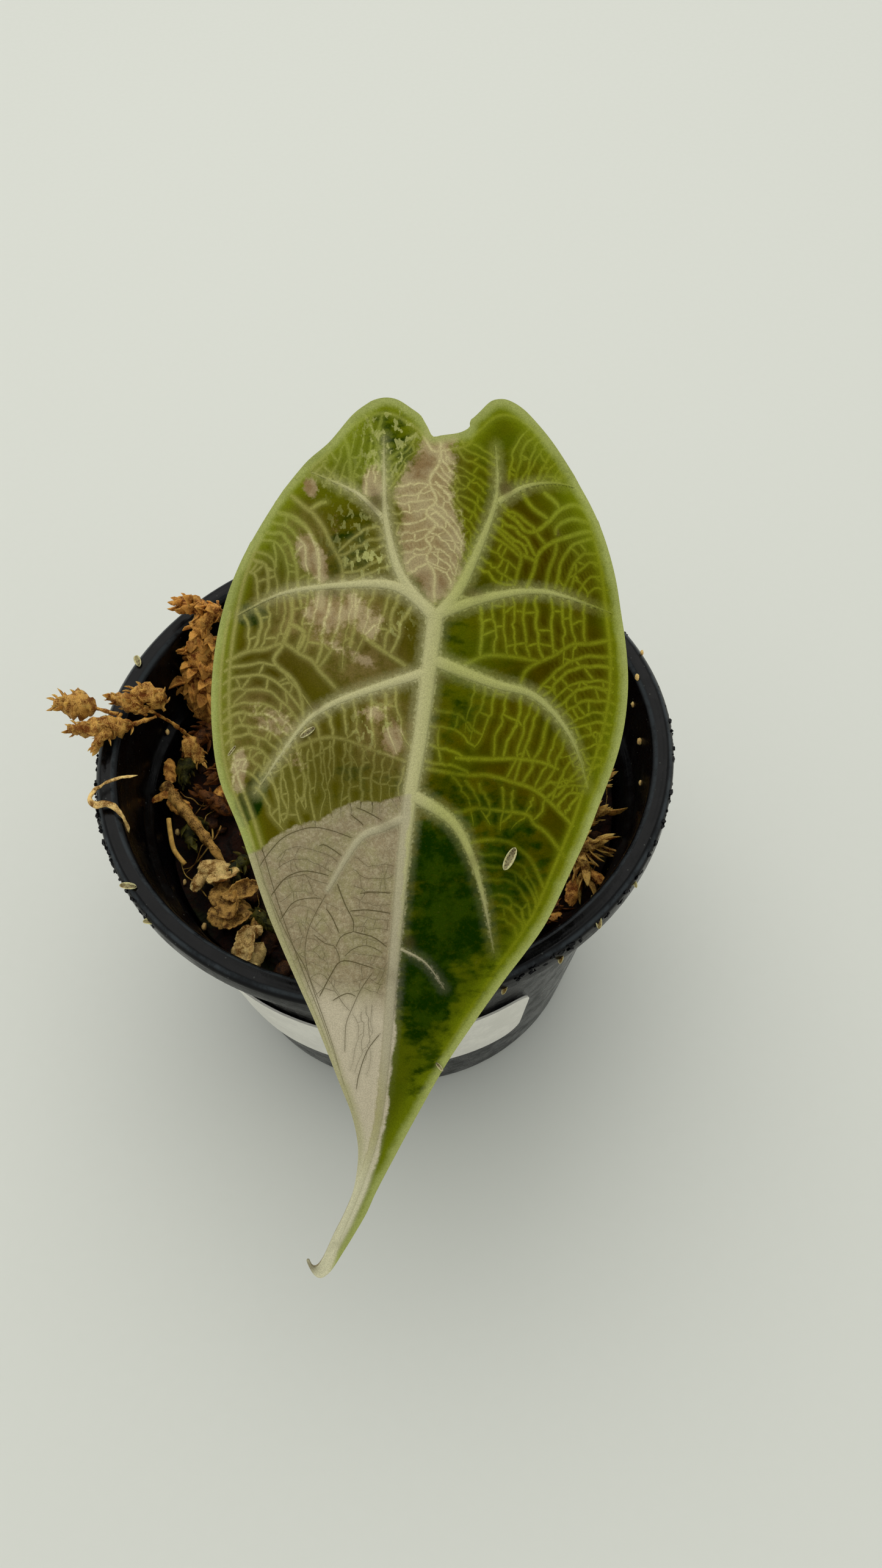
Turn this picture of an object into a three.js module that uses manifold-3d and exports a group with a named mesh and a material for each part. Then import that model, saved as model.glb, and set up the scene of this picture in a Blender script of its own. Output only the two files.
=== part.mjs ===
// A young aroid with one arrow-shaped leaf, standing in a small round nursery pot.
// Millimetres, +Z up, the pot's base centre on the origin, the leaf's tail towards -Y.
import * as THREE from 'three';
import { mergeVertices } from 'three/addons/utils/BufferGeometryUtils.js';
import Module from 'manifold-3d';

const wasm = await Module();
wasm.setup();

// Gap kept between two pieces that touch
const CLEARANCE = 0.3;

// Pot: outer wall, collar and lip
const POT_HEIGHT = 53.3;
const RIM_RADIUS = 38;
const BASE_RADIUS = 27.7;
const WALL = 1;
const FLOOR_THICKNESS = 1.6;
const LIP_HEIGHT = 3.8;
const LIP_ROUND = 0.7;
const LIP_INNER_RADIUS = 35.1;
const STEP_Z = 42;
const STEP_RADIUS = 33.7;
const COLLAR_FOOT_RADIUS = 34.9;
const COLLAR_HEAD_RADIUS = 36;
const STEP_RISE = 0.6;
const BASE_CHAMFER = 0.5;
const POT_SEGMENTS = 44;
const DRAIN_HOLES = 8;
const DRAIN_HOLE_RADIUS = 3;
const DRAIN_CIRCLE_RADIUS = 20;
const GROOVE_INNER_RADIUS = 15.5;
const GROOVE_OUTER_RADIUS = 24.5;
const GROOVE_DEPTH = 0.7;
const DRAIN_HOLE_SIDES = 12;

// Label: a bare rounded rectangle bent around the wall
const LABEL_BOTTOM_Z = 14;
const LABEL_TOP_Z = 31;
const LABEL_FROM_DEG = -45;
const LABEL_TO_DEG = 33;
const LABEL_CORNER = 3;
const LABEL_THICKNESS = 0.35;
const LABEL_COLUMNS = 18;

// Potting mix
const MIX_EDGE_Z = 37.5;
const MIX_CROWN_RISE = 2;
const MIX_LUMP = 1.1;
const MIX_SECTORS = 32;
const MIX_RINGS = 6;
// Waves of the mix's top: a sine and a cosine, each as [rate along x, rate along y, start]
const MIX_WAVES = [
  { share: 1, sine: [0.42, 0, 1.1], cosine: [0, 0.37, -0.6] },
  { share: 0.7, sine: [0.33, 0.81, 0], cosine: [0.74, -0.5, 0] },
];

// Tuber, roots and the sheath at the petiole's foot
const TUBER_CENTRE = new THREE.Vector2(2.2, 4.2);
const TUBER_TOP_Z = 41;
const TUBER_TOP_RADIUS = 3.4;
const TUBER_RADIUS = 5.8;
const TUBER_HEIGHT = 13;
// Side of the tuber as [share of its radius, depth as a share of its height], upwards
const TUBER_SIDE = [[0.55, 0.93], [0.95, 0.7], [1, 0.5], [0.8, 0.22]];
const TUBER_SEGMENTS = 20;
const TUBER_HEAD_GAP = 4;
const ROOTS = 7;
const ROOT_RADIUS = 0.85;
const ROOT_END_SHARE = 0.5;
const ROOT_STEPS = 6;
const ROOT_SIDES = 5;
const ROOT_SPREAD = 0.6;
const ROOT_SWING = 0.6;
const ROOT_REACH = { least: 13, spread: 7 };
const ROOT_DROP = { least: 9, spread: 8 };
const ROOT_START_DEPTH = 0.72;
// Way of a root as [share of its reach, share of its swing, share of its drop]
const ROOT_WAY = [[0.55, 1, 0.3], [0.85, -1, 0.75], [1, 1, 1.15]];
const SHEATH_THICKNESS = 0.6;
const SHEATH_HEIGHT = 13;
const SHEATH_HALF_OPENING_DEG = 128;
const SHEATH_BACK_SHARE = 0.3;
const SHEATH_POINT_POWER = 4;
const SHEATH_FLARE = 0.12;
const SHEATH_COLUMNS = 12;
const SHEATH_ROWS = 3;
const PETIOLE_FOOT_RADIUS = 1.9;
const PETIOLE_HEAD_RADIUS = 1.3;
const PETIOLE_STEPS = 14;
const PETIOLE_SIDES = 10;

// Leaf: u runs across the blade and v along it, from the junction with the petiole
const LEAF_JUNCTION = new THREE.Vector3(7.6, -8, 84);
const LEAF_SLOPE_DEG = 36;
const LEAF_YAW_DEG = 8.5;
const BLADE_THICKNESS = 0.8;
const BLADE_COLUMNS = 18;
const BLADE_ROWS = 28;
const TAIL_DROOP = 0.0036;
const TAIL_DROOP_START = 14;
const MARGIN_DROOP = 0.006;
const MARGIN_FLATTENING = 0.35;
const BLADE_LENGTH = 70;
const QUILT_HEIGHT = 0.7;
const QUILT_REACH = 3;
const NET_RIDGE = 0.22;
const FULL_WIDTH = 20;
const RIB_STAND = 0.4;
const MAIN_RIB_SIDES = 4;
const NET_RIB_SIDES = 3;
const RIB_SAMPLES = 24;

// Moss: distance between rings of scales, and how far a scale leans forward in that distance
const MOSS_SIDES = 6;
const SCALE_SPACING = 1.5;
const SCALE_LEAN = 0.8;
const SCALE_REACH = { least: 0.55, spread: 0.7 };
const STEM_NARROWING = 0.4;

// Dry bits: flakes of bark, the ringed husk strand and the curled root
const FLAKE_CELLS = 4;
const FLAKE_WAIST = 0.35;
const FLAKE_END_CURL = 0.4;
const FLAKE_LEAN = 0.3;
const HUSK_RADIUS = 0.85;
const HUSK_RING = 0.12;
const HUSK_RING_RATE = 26;
const HUSK_STEPS = 14;
const DRY_ROOT_STEPS = 18;

// Margins of the blade as [u, v], from the lobes to the drip tip
const LEFT_MARGIN = [
  [-18.1, -12.9], [-20.3, -8.5], [-22.1, -4.2], [-23.4, 1], [-23.4, 7.8], [-22.6, 13.5],
  [-20.8, 19], [-18, 24.5], [-15.4, 31.7], [-13.2, 36.2], [-10.9, 40], [-8.4, 45.2],
  [-5.8, 51.5], [-4, 55.5], [-3, 61], [-3.4, 65.5], [-4.9, 71], [-6.4, 75], [-8, 75.9],
];
const RIGHT_MARGIN = [
  [13.6, -17], [15.3, -13.9], [17.6, -10.3], [19.5, -5.4], [20.9, 0.6], [21.2, 6], [20.7, 12],
  [19.2, 20], [17.3, 26], [15.2, 31.1], [12.8, 34.6], [10.4, 37.6], [8.4, 42], [6, 48.2],
  [3.4, 54.8], [1, 60.6], [-1, 65.2], [-3, 70], [-4.9, 75], [-6.4, 78.1],
];
const LOBE_EDGE = [
  [-18.1, -12.9], [-15.8, -16], [-13.2, -18.2], [-11.3, -21.4], [-8.8, -23.1], [-6, -23.1],
  [-3.6, -22], [-2.2, -19.6], [-0.2, -19.7], [1.6, -20.6], [2.7, -22.8], [5, -24.5],
  [7.4, -23.6], [10.6, -19.9], [13.6, -17],
];
const TIP_EDGE = [[-8, 75.9], [-7.7, 77.1], [-6.4, 78.1]];

// Ribs as [u, v] points with the radius at the root and at the end
const MAIN_RIBS = [
  {
    path: [[0, 0], [-0.4, 12], [-1, 21.2], [-1.1, 38.6], [-1.3, 55], [-2.6, 64], [-5.2, 73.5]],
    root: 1.25,
    end: 0.62,
  },
  { path: [[0, 0], [-4, -4.2], [-6.1, -9.8], [-6.7, -13.9], [-7.2, -19]], root: 1, end: 0.62 },
  { path: [[0, 0], [2.3, -3.5], [4.5, -9.9], [5.3, -14.2], [4.7, -19]], root: 1, end: 0.62 },
  { path: [[-0.4, -0.6], [-4.7, -3.1], [-11.5, -2.5], [-16.8, -1.3], [-20.9, 0.9]], root: 0.9, end: 0.62 },
  { path: [[0.4, -0.6], [5.1, -2.7], [11.2, -4], [18.1, -3]], root: 0.9, end: 0.62 },
  { path: [[-0.3, 5.6], [-6.4, 8.1], [-10.4, 10.1], [-13.3, 12.8], [-17.3, 19.3]], root: 0.9, end: 0.62 },
  { path: [[-0.2, 4.2], [6.4, 6.1], [11.5, 7.2], [15.7, 11.2], [18.1, 15.4]], root: 0.9, end: 0.62 },
  { path: [[-1, 21], [-3.4, 22.4], [-6, 24], [-8.9, 29.8]], root: 0.8, end: 0.62 },
  { path: [[-0.9, 18.6], [3.6, 21], [6, 24.4], [7.8, 28.9], [9.9, 35.4]], root: 0.9, end: 0.62 },
  { path: [[-1.1, 35.2], [2.2, 36.6], [4.4, 39.1]], root: 0.7, end: 0.62 },
];
const NET_RIBS = [
  { path: [[-6.4, -10.4], [-9.3, -12.5], [-13.3, -14.6]], root: 0.66, end: 0.62 },
  { path: [[5, -12.9], [8.1, -14.7], [12.3, -15.9]], root: 0.66, end: 0.62 },
  { path: [[-5, -6.8], [-11, -8.3], [-18, -8.6]], root: 0.66, end: 0.62 },
  { path: [[3.6, -6.8], [10, -9.4], [15.6, -10.2]], root: 0.66, end: 0.62 },
  { path: [[-0.2, 2.4], [-8, 3], [-19.8, 8]], root: 0.66, end: 0.62 },
  { path: [[-0.1, 1.6], [9, 1.4], [18.6, 5]], root: 0.66, end: 0.62 },
  { path: [[-0.7, 13], [-7, 15.4], [-13.6, 22.8]], root: 0.66, end: 0.62 },
  { path: [[-0.6, 10.8], [7.6, 13.6], [14.6, 21.6]], root: 0.66, end: 0.62 },
  { path: [[6.1, 23.2], [7.9, 22.6], [11.4, 24.4], [13.6, 29.4]], root: 0.66, end: 0.62 },
  { path: [[-1.1, 30], [-5.4, 33.4], [-7.8, 39.4]], root: 0.66, end: 0.62 },
];

// A small seeded random generator, so that the part is the same at every run
function seededRandom(seed) {
  let state = seed;
  return () => {
    state = (state * 1664525 + 1013904223) % 4294967296;
    return state / 4294967296;
  };
}

// Turns a closed three.js geometry into a solid that can be cut and joined
function toSolid(geometry) {
  const bare = new THREE.BufferGeometry();
  bare.setAttribute('position', geometry.getAttribute('position'));
  if (geometry.index) bare.setIndex(geometry.index);
  const merged = mergeVertices(bare, 1e-4);
  return new wasm.Manifold(new wasm.Mesh({
    numProp: 3,
    vertProperties: new Float32Array(merged.getAttribute('position').array),
    triVerts: new Uint32Array(merged.index.array),
  }));
}

// Turns a solid back into a three.js geometry
function toGeometry(solid) {
  const mesh = solid.getMesh();
  const geometry = new THREE.BufferGeometry();
  geometry.setAttribute('position', new THREE.BufferAttribute(mesh.vertProperties, 3));
  geometry.setIndex(new THREE.BufferAttribute(mesh.triVerts, 1));
  geometry.computeVertexNormals();
  return geometry;
}

// The largest of a solid's separate pieces
function largestPiece(solid) {
  const pieces = solid.decompose();
  return pieces.reduce((best, piece) => (piece.volume() > best.volume() ? piece : best));
}

function joinAll(solids) {
  return solids.reduce((joined, solid) => joined.add(solid));
}

// A closed skin over a grid of outer points and the matching inner points
function gridShell(columns, rows, outerPoint, innerPoint) {
  const positions = [];
  for (const pointAt of [outerPoint, innerPoint]) {
    for (let row = 0; row <= rows; row += 1) {
      for (let column = 0; column <= columns; column += 1) {
        positions.push(...pointAt(column, row).toArray());
      }
    }
  }
  const innerStart = (columns + 1) * (rows + 1);
  const at = (column, row) => row * (columns + 1) + column;
  const triangles = [];
  for (let row = 0; row < rows; row += 1) {
    for (let column = 0; column < columns; column += 1) {
      const corners = [at(column, row), at(column + 1, row), at(column + 1, row + 1), at(column, row + 1)];
      const [a, b, c, d] = corners;
      triangles.push(a, b, c, a, c, d);
      triangles.push(innerStart + a, innerStart + c, innerStart + b);
      triangles.push(innerStart + a, innerStart + d, innerStart + c);
    }
  }
  const edge = [];
  for (let column = 0; column < columns; column += 1) edge.push(at(column, 0));
  for (let row = 0; row < rows; row += 1) edge.push(at(columns, row));
  for (let column = columns; column > 0; column -= 1) edge.push(at(column, rows));
  for (let row = rows; row > 0; row -= 1) edge.push(at(0, row));
  edge.forEach((from, index) => {
    const to = edge[(index + 1) % edge.length];
    triangles.push(to, from, innerStart + from, to, innerStart + from, innerStart + to);
  });
  return closedSolid(positions, triangles);
}

// A solid from points and triangles, turned outward if they were listed the other way
function closedSolid(positions, triangles) {
  const geometry = new THREE.BufferGeometry();
  geometry.setAttribute('position', new THREE.Float32BufferAttribute(positions, 3));
  geometry.setIndex(triangles);
  const solid = toSolid(geometry);
  if (solid.volume() > 0) return solid;
  const turned = [];
  for (let i = 0; i < triangles.length; i += 3) {
    turned.push(triangles[i], triangles[i + 2], triangles[i + 1]);
  }
  geometry.setIndex(turned);
  return toSolid(geometry);
}

// A closed stalk along a curve. radiusAt(along, step, side) and aheadAt(step, side) place each
// point out of the curve and forward along it, so that single points can be drawn out to scales.
function stalk(curve, radiusAt, steps, sides, aheadAt = () => 0) {
  const frames = curve.computeFrenetFrames(steps, false);
  const positions = [];
  for (let step = 0; step <= steps; step += 1) {
    const along = step / steps;
    const centre = curve.getPointAt(along);
    for (let side = 0; side < sides; side += 1) {
      const angle = (2 * Math.PI * side) / sides;
      const radius = radiusAt(along, step, side);
      positions.push(...centre.clone()
        .addScaledVector(frames.normals[step], radius * Math.cos(angle))
        .addScaledVector(frames.binormals[step], radius * Math.sin(angle))
        .addScaledVector(frames.tangents[step], aheadAt(step, side)).toArray());
    }
  }
  const footCentre = (steps + 1) * sides;
  for (const step of [0, steps]) {
    positions.push(...curve.getPointAt(step / steps)
      .addScaledVector(frames.tangents[step], aheadAt(step, 0)).toArray());
  }
  const triangles = [];
  for (let side = 0; side < sides; side += 1) {
    const next = (side + 1) % sides;
    for (let step = 0; step < steps; step += 1) {
      const low = step * sides;
      const high = low + sides;
      triangles.push(low + side, low + next, high + next, low + side, high + next, high + side);
    }
    const last = steps * sides;
    triangles.push(footCentre, next, side, footCentre + 1, last + side, last + next);
  }
  return closedSolid(positions, triangles);
}

function curveThrough(points) {
  return new THREE.CatmullRomCurve3(points.map(([x, y, z]) => new THREE.Vector3(x, y, z)));
}

function taper(root, end) {
  return (along) => root + (end - root) * along;
}

// Both ends of a stalk moved outward by a gap
function endsOut(steps, gap) {
  return (step) => {
    if (step === 0) return -gap;
    return step === steps ? gap : 0;
  };
}

function latheSolid(profile, segments) {
  const points = profile.map(([radius, height]) => new THREE.Vector2(radius, height));
  const lathe = new THREE.LatheGeometry(points, segments);
  lathe.rotateX(Math.PI / 2);
  const solid = toSolid(lathe);
  if (solid.volume() > 0) return solid;
  lathe.index.array.reverse();
  return toSolid(lathe);
}

// Pot
function outerWallRadius(z) {
  return BASE_RADIUS + ((STEP_RADIUS - BASE_RADIUS) * z) / STEP_Z;
}

function innerWallRadius(z) {
  return outerWallRadius(z) - WALL;
}

// The pot's inside from the lip down to the floor's corner, drawn in by a gap
function innerProfile(gap) {
  return [
    [LIP_INNER_RADIUS - gap, POT_HEIGHT - LIP_ROUND],
    [COLLAR_FOOT_RADIUS - WALL - gap, STEP_Z + STEP_RISE + WALL + gap],
    [STEP_RADIUS - WALL - gap, STEP_Z + WALL + gap - STEP_RISE],
    [innerWallRadius(FLOOR_THICKNESS) - gap, FLOOR_THICKNESS + gap],
  ];
}

function makePot() {
  const lipFoot = POT_HEIGHT - LIP_HEIGHT;
  const profile = [
    [0, 0],
    [GROOVE_INNER_RADIUS, 0],
    [GROOVE_INNER_RADIUS, GROOVE_DEPTH],
    [GROOVE_OUTER_RADIUS, GROOVE_DEPTH],
    [GROOVE_OUTER_RADIUS, 0],
    [BASE_RADIUS - BASE_CHAMFER, 0],
    [outerWallRadius(BASE_CHAMFER), BASE_CHAMFER],
    [STEP_RADIUS, STEP_Z],
    [COLLAR_FOOT_RADIUS, STEP_Z + STEP_RISE],
    [COLLAR_HEAD_RADIUS, lipFoot],
    [RIM_RADIUS - LIP_ROUND, lipFoot],
    [RIM_RADIUS, lipFoot + LIP_ROUND],
    [RIM_RADIUS, POT_HEIGHT - LIP_ROUND],
    [RIM_RADIUS - LIP_ROUND, POT_HEIGHT],
    [LIP_INNER_RADIUS + LIP_ROUND, POT_HEIGHT],
    ...innerProfile(0),
    [0, FLOOR_THICKNESS],
  ];
  const drains = [];
  for (let index = 0; index < DRAIN_HOLES; index += 1) {
    const angle = (2 * Math.PI * (index + 0.5)) / DRAIN_HOLES;
    const drain = new THREE.CylinderGeometry(
      DRAIN_HOLE_RADIUS, DRAIN_HOLE_RADIUS, 4 * FLOOR_THICKNESS, DRAIN_HOLE_SIDES);
    drain.rotateX(Math.PI / 2);
    drain.translate(DRAIN_CIRCLE_RADIUS * Math.cos(angle), DRAIN_CIRCLE_RADIUS * Math.sin(angle), 0);
    drains.push(toSolid(drain));
  }
  return latheSolid(profile, POT_SEGMENTS).subtract(joinAll(drains));
}

// The room that the pot's collar and lip take up, with the gap that loose pieces keep to them
function makeRimRoom() {
  const [lipEdge, ...below] = innerProfile(CLEARANCE);
  const profile = [
    [RIM_RADIUS + CLEARANCE, 0],
    [RIM_RADIUS + CLEARANCE, POT_HEIGHT + CLEARANCE],
    [LIP_INNER_RADIUS - CLEARANCE + LIP_ROUND, POT_HEIGHT + CLEARANCE],
    lipEdge,
    ...below,
    [innerWallRadius(0) - CLEARANCE, 0],
    [RIM_RADIUS + CLEARANCE, 0],
  ];
  return latheSolid(profile, POT_SEGMENTS);
}

// Label
function makeLabel() {
  const halfHeight = (LABEL_TOP_Z - LABEL_BOTTOM_Z) / 2;
  const middleZ = (LABEL_TOP_Z + LABEL_BOTTOM_Z) / 2;
  const fromAngle = THREE.MathUtils.degToRad(LABEL_FROM_DEG);
  const toAngle = THREE.MathUtils.degToRad(LABEL_TO_DEG);
  const length = (toAngle - fromAngle) * outerWallRadius(middleZ);
  // Columns crowd towards both ends, where the rounded corners are
  const columnAlong = (column) => (1 - Math.cos((Math.PI * column) / LABEL_COLUMNS)) / 2;
  const pointAt = (lift) => (column, row) => {
    const along = columnAlong(column);
    const fromEnd = Math.min(along, 1 - along) * length;
    const intoCorner = Math.max(0, LABEL_CORNER - fromEnd);
    const cut = LABEL_CORNER - Math.sqrt(Math.max(0, LABEL_CORNER ** 2 - intoCorner ** 2));
    const z = middleZ + (2 * row - 1) * (halfHeight - cut);
    const angle = fromAngle + (toAngle - fromAngle) * along;
    const radius = outerWallRadius(z) + CLEARANCE + lift;
    return new THREE.Vector3(radius * Math.sin(angle), -radius * Math.cos(angle), z);
  };
  return gridShell(LABEL_COLUMNS, 1, pointAt(LABEL_THICKNESS), pointAt(0));
}

// Height of the mix's rough top
function mixTop(x, y) {
  const fromCentre = Math.hypot(x, y) / innerWallRadius(MIX_EDGE_Z);
  const crown = MIX_CROWN_RISE * (1 - fromCentre ** 2);
  const phase = ([alongX, alongY, start]) => alongX * x + alongY * y + start;
  const lumps = MIX_WAVES.reduce((sum, { share, sine, cosine }) => (
    sum + share * Math.sin(phase(sine)) * Math.cos(phase(cosine))), 0);
  return MIX_EDGE_Z + crown + MIX_LUMP * lumps;
}

// The plug of mix; grow widens and raises it, for the gap that loose pieces keep to it
function makeMixPlug(grow) {
  const bottomZ = FLOOR_THICKNESS + CLEARANCE;
  const bottomRadius = innerWallRadius(bottomZ) - CLEARANCE + grow;
  const topRadius = innerWallRadius(MIX_EDGE_Z - 2 * MIX_LUMP) - CLEARANCE + grow;
  const positions = [0, 0, mixTop(0, 0) + grow];
  for (let ring = 1; ring <= MIX_RINGS; ring += 1) {
    for (let sector = 0; sector < MIX_SECTORS; sector += 1) {
      const angle = (2 * Math.PI * sector) / MIX_SECTORS;
      const radius = (topRadius * ring) / MIX_RINGS;
      const x = radius * Math.cos(angle);
      const y = radius * Math.sin(angle);
      positions.push(x, y, mixTop(x, y) + grow);
    }
  }
  for (let sector = 0; sector < MIX_SECTORS; sector += 1) {
    const angle = (2 * Math.PI * sector) / MIX_SECTORS;
    positions.push(bottomRadius * Math.cos(angle), bottomRadius * Math.sin(angle), bottomZ);
  }
  positions.push(0, 0, bottomZ);
  const bottomCentre = positions.length / 3 - 1;
  const triangles = [];
  for (let sector = 0; sector < MIX_SECTORS; sector += 1) {
    const next = (sector + 1) % MIX_SECTORS;
    triangles.push(0, 1 + sector, 1 + next);
    for (let ring = 0; ring < MIX_RINGS; ring += 1) {
      const inner = 1 + ring * MIX_SECTORS;
      const outer = inner + MIX_SECTORS;
      triangles.push(inner + sector, outer + sector, outer + next);
      triangles.push(inner + sector, outer + next, inner + next);
    }
    const foot = 1 + MIX_RINGS * MIX_SECTORS;
    triangles.push(foot + sector, bottomCentre, foot + next);
  }
  return closedSolid(positions, triangles);
}

// The tuber with its roots; grow thickens both, for the hole that they leave in the mix
function makeTuber(grow) {
  const headZ = TUBER_TOP_Z + TUBER_HEAD_GAP * grow;
  const profile = [
    [0, TUBER_TOP_Z - TUBER_HEIGHT - grow],
    ...TUBER_SIDE.map(([out, deep]) => [out * TUBER_RADIUS + grow, TUBER_TOP_Z - deep * TUBER_HEIGHT]),
    [TUBER_TOP_RADIUS + grow, headZ],
    [0, headZ],
  ];
  const tuber = latheSolid(profile, TUBER_SEGMENTS).translate([TUBER_CENTRE.x, TUBER_CENTRE.y, 0]);
  const random = seededRandom(11);
  const roots = [];
  for (let index = 0; index < ROOTS; index += 1) {
    const angle = (2 * Math.PI * (index + ROOT_SPREAD * random())) / ROOTS;
    const reach = ROOT_REACH.least + ROOT_REACH.spread * random();
    const drop = ROOT_DROP.least + ROOT_DROP.spread * random();
    const swing = ROOT_SWING * (random() - 0.5);
    const at = (distance, turn, z) => [
      TUBER_CENTRE.x + distance * Math.cos(angle + turn),
      TUBER_CENTRE.y + distance * Math.sin(angle + turn),
      z,
    ];
    const startZ = TUBER_TOP_Z - ROOT_START_DEPTH * TUBER_HEIGHT;
    const curve = curveThrough([
      at(0.4 * TUBER_RADIUS, 0, startZ),
      ...ROOT_WAY.map(([out, turn, down]) => at(out * reach, turn * swing, startZ - down * drop)),
    ]);
    const radiusAt = taper(ROOT_RADIUS + grow, ROOT_END_SHARE * ROOT_RADIUS + grow);
    roots.push(stalk(curve, radiusAt, ROOT_STEPS, ROOT_SIDES, endsOut(ROOT_STEPS, grow)));
  }
  return joinAll([tuber, ...roots]);
}

// Middle line of the petiole, from the tuber's head up into the underside of the blade
const petioleCurve = new THREE.CatmullRomCurve3([
  new THREE.Vector3(TUBER_CENTRE.x, TUBER_CENTRE.y, TUBER_TOP_Z + CLEARANCE),
  new THREE.Vector3(TUBER_CENTRE.x + 0.1, TUBER_CENTRE.y + 1.6, TUBER_TOP_Z + 13),
  new THREE.Vector3(TUBER_CENTRE.x + 1.9, TUBER_CENTRE.y + 1.2, TUBER_TOP_Z + 27),
  new THREE.Vector3(LEAF_JUNCTION.x - 0.9, LEAF_JUNCTION.y + 5.4, LEAF_JUNCTION.z - 6),
  LEAF_JUNCTION.clone(),
]);

function makePetiole() {
  const radiusAt = taper(PETIOLE_FOOT_RADIUS, PETIOLE_HEAD_RADIUS);
  const whole = stalk(petioleCurve, radiusAt, PETIOLE_STEPS, PETIOLE_SIDES);
  return largestPiece(whole.subtract(makeBlade(CLEARANCE)));
}

// The sheath stands on the tuber, open at the back and pointed in front
function makeSheath() {
  const halfOpening = THREE.MathUtils.degToRad(SHEATH_HALF_OPENING_DEG);
  const petioleLength = petioleCurve.getLength();
  const pointAt = (thickness) => (column, row) => {
    const angle = halfOpening * ((2 * column) / SHEATH_COLUMNS - 1);
    const up = row / SHEATH_ROWS;
    const point = (1 - SHEATH_BACK_SHARE) * Math.cos(angle / 2) ** SHEATH_POINT_POWER;
    const height = SHEATH_HEIGHT * (SHEATH_BACK_SHARE + point) * up;
    const centre = petioleCurve.getPointAt(height / petioleLength);
    const flare = 1 + SHEATH_FLARE * up;
    const radius = (PETIOLE_FOOT_RADIUS + 1.5 * CLEARANCE) * flare + thickness;
    const towards = angle - Math.PI / 2;
    return new THREE.Vector3(
      centre.x + radius * Math.cos(towards),
      centre.y + radius * Math.sin(towards),
      TUBER_TOP_Z + CLEARANCE + height,
    );
  };
  return gridShell(SHEATH_COLUMNS, SHEATH_ROWS, pointAt(SHEATH_THICKNESS), pointAt(0));
}

// Leaf axes: across and along the blade, and out of its upper face
const slope = THREE.MathUtils.degToRad(LEAF_SLOPE_DEG);
const yaw = THREE.MathUtils.degToRad(LEAF_YAW_DEG);
const downhill = new THREE.Vector3(0, -Math.cos(slope), -Math.sin(slope));
const alongLeaf = downhill.clone().multiplyScalar(Math.cos(yaw))
  .add(new THREE.Vector3(-Math.sin(yaw), 0, 0));
const acrossLeaf = downhill.clone().multiplyScalar(Math.sin(yaw))
  .add(new THREE.Vector3(Math.cos(yaw), 0, 0));
const outOfLeaf = new THREE.Vector3(0, -Math.sin(slope), Math.cos(slope));

function splineThrough(points) {
  return new THREE.SplineCurve(points.map(([u, v]) => new THREE.Vector2(u, v)));
}

const mainRibSamples = MAIN_RIBS.flatMap(({ path }) => splineThrough(path).getSpacedPoints(RIB_SAMPLES));

// Height of the blade above its flat plane: the arch, and the quilting between the main ribs
function bladeLift(u, v) {
  const pastStart = Math.max(v - TAIL_DROOP_START, 0);
  const intoLobes = Math.max(-v, 0);
  const widening = 1 - MARGIN_FLATTENING * THREE.MathUtils.clamp(v / BLADE_LENGTH, 0, 1);
  const arch = -TAIL_DROOP * (pastStart ** 2 + intoLobes ** 2) - MARGIN_DROOP * widening * u ** 2;
  const toRib = Math.sqrt(mainRibSamples.reduce(
    (least, rib) => Math.min(least, (rib.x - u) ** 2 + (rib.y - v) ** 2), Infinity));
  return arch + QUILT_HEIGHT * (1 - Math.exp(-((toRib / QUILT_REACH) ** 2)));
}

function leafPoint(u, v, lift) {
  return LEAF_JUNCTION.clone()
    .addScaledVector(acrossLeaf, u)
    .addScaledVector(alongLeaf, v)
    .addScaledVector(outOfLeaf, lift);
}

// The blade's outline filled by a patch between its four edges
const edges = {
  left: splineThrough(LEFT_MARGIN),
  right: splineThrough(RIGHT_MARGIN),
  lobes: splineThrough(LOBE_EDGE),
  tip: splineThrough(TIP_EDGE),
};

function outlinePatch(across, along) {
  const left = edges.left.getPointAt(along);
  const right = edges.right.getPointAt(along);
  const lobes = edges.lobes.getPointAt(across);
  const tip = edges.tip.getPointAt(across);
  const blend = (axis) => {
    const ruledAcross = (1 - across) * left[axis] + across * right[axis];
    const ruledAlong = (1 - along) * lobes[axis] + along * tip[axis];
    const start = edges.lobes.getPointAt(0)[axis] * (1 - across) + edges.lobes.getPointAt(1)[axis] * across;
    const end = edges.tip.getPointAt(0)[axis] * (1 - across) + edges.tip.getPointAt(1)[axis] * across;
    return ruledAcross + ruledAlong - (1 - along) * start - along * end;
  };
  return { u: blend('x'), v: blend('y'), width: left.distanceTo(right) };
}

// The bare blade; grow thickens both faces, for the gap that the petiole keeps to it
function makeBlade(grow) {
  const grid = [];
  for (let row = 0; row <= BLADE_ROWS; row += 1) {
    for (let column = 0; column <= BLADE_COLUMNS; column += 1) {
      const { u, v, width } = outlinePatch(column / BLADE_COLUMNS, row / BLADE_ROWS);
      const ridge = column % 2 === 0 ? NET_RIDGE * Math.min(1, (width / FULL_WIDTH) ** 2) : 0;
      grid.push({ u, v, lift: bladeLift(u, v) + ridge });
    }
  }
  const pointAt = (offset) => (column, row) => {
    const { u, v, lift } = grid[row * (BLADE_COLUMNS + 1) + column];
    return leafPoint(u, v, lift + offset);
  };
  const blade = gridShell(BLADE_COLUMNS, BLADE_ROWS, pointAt(grow), pointAt(-BLADE_THICKNESS - grow));
  return joinAll([blade, ...MAIN_RIBS.map((rib) => makeRib(rib, grow, MAIN_RIB_SIDES))]);
}

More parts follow.
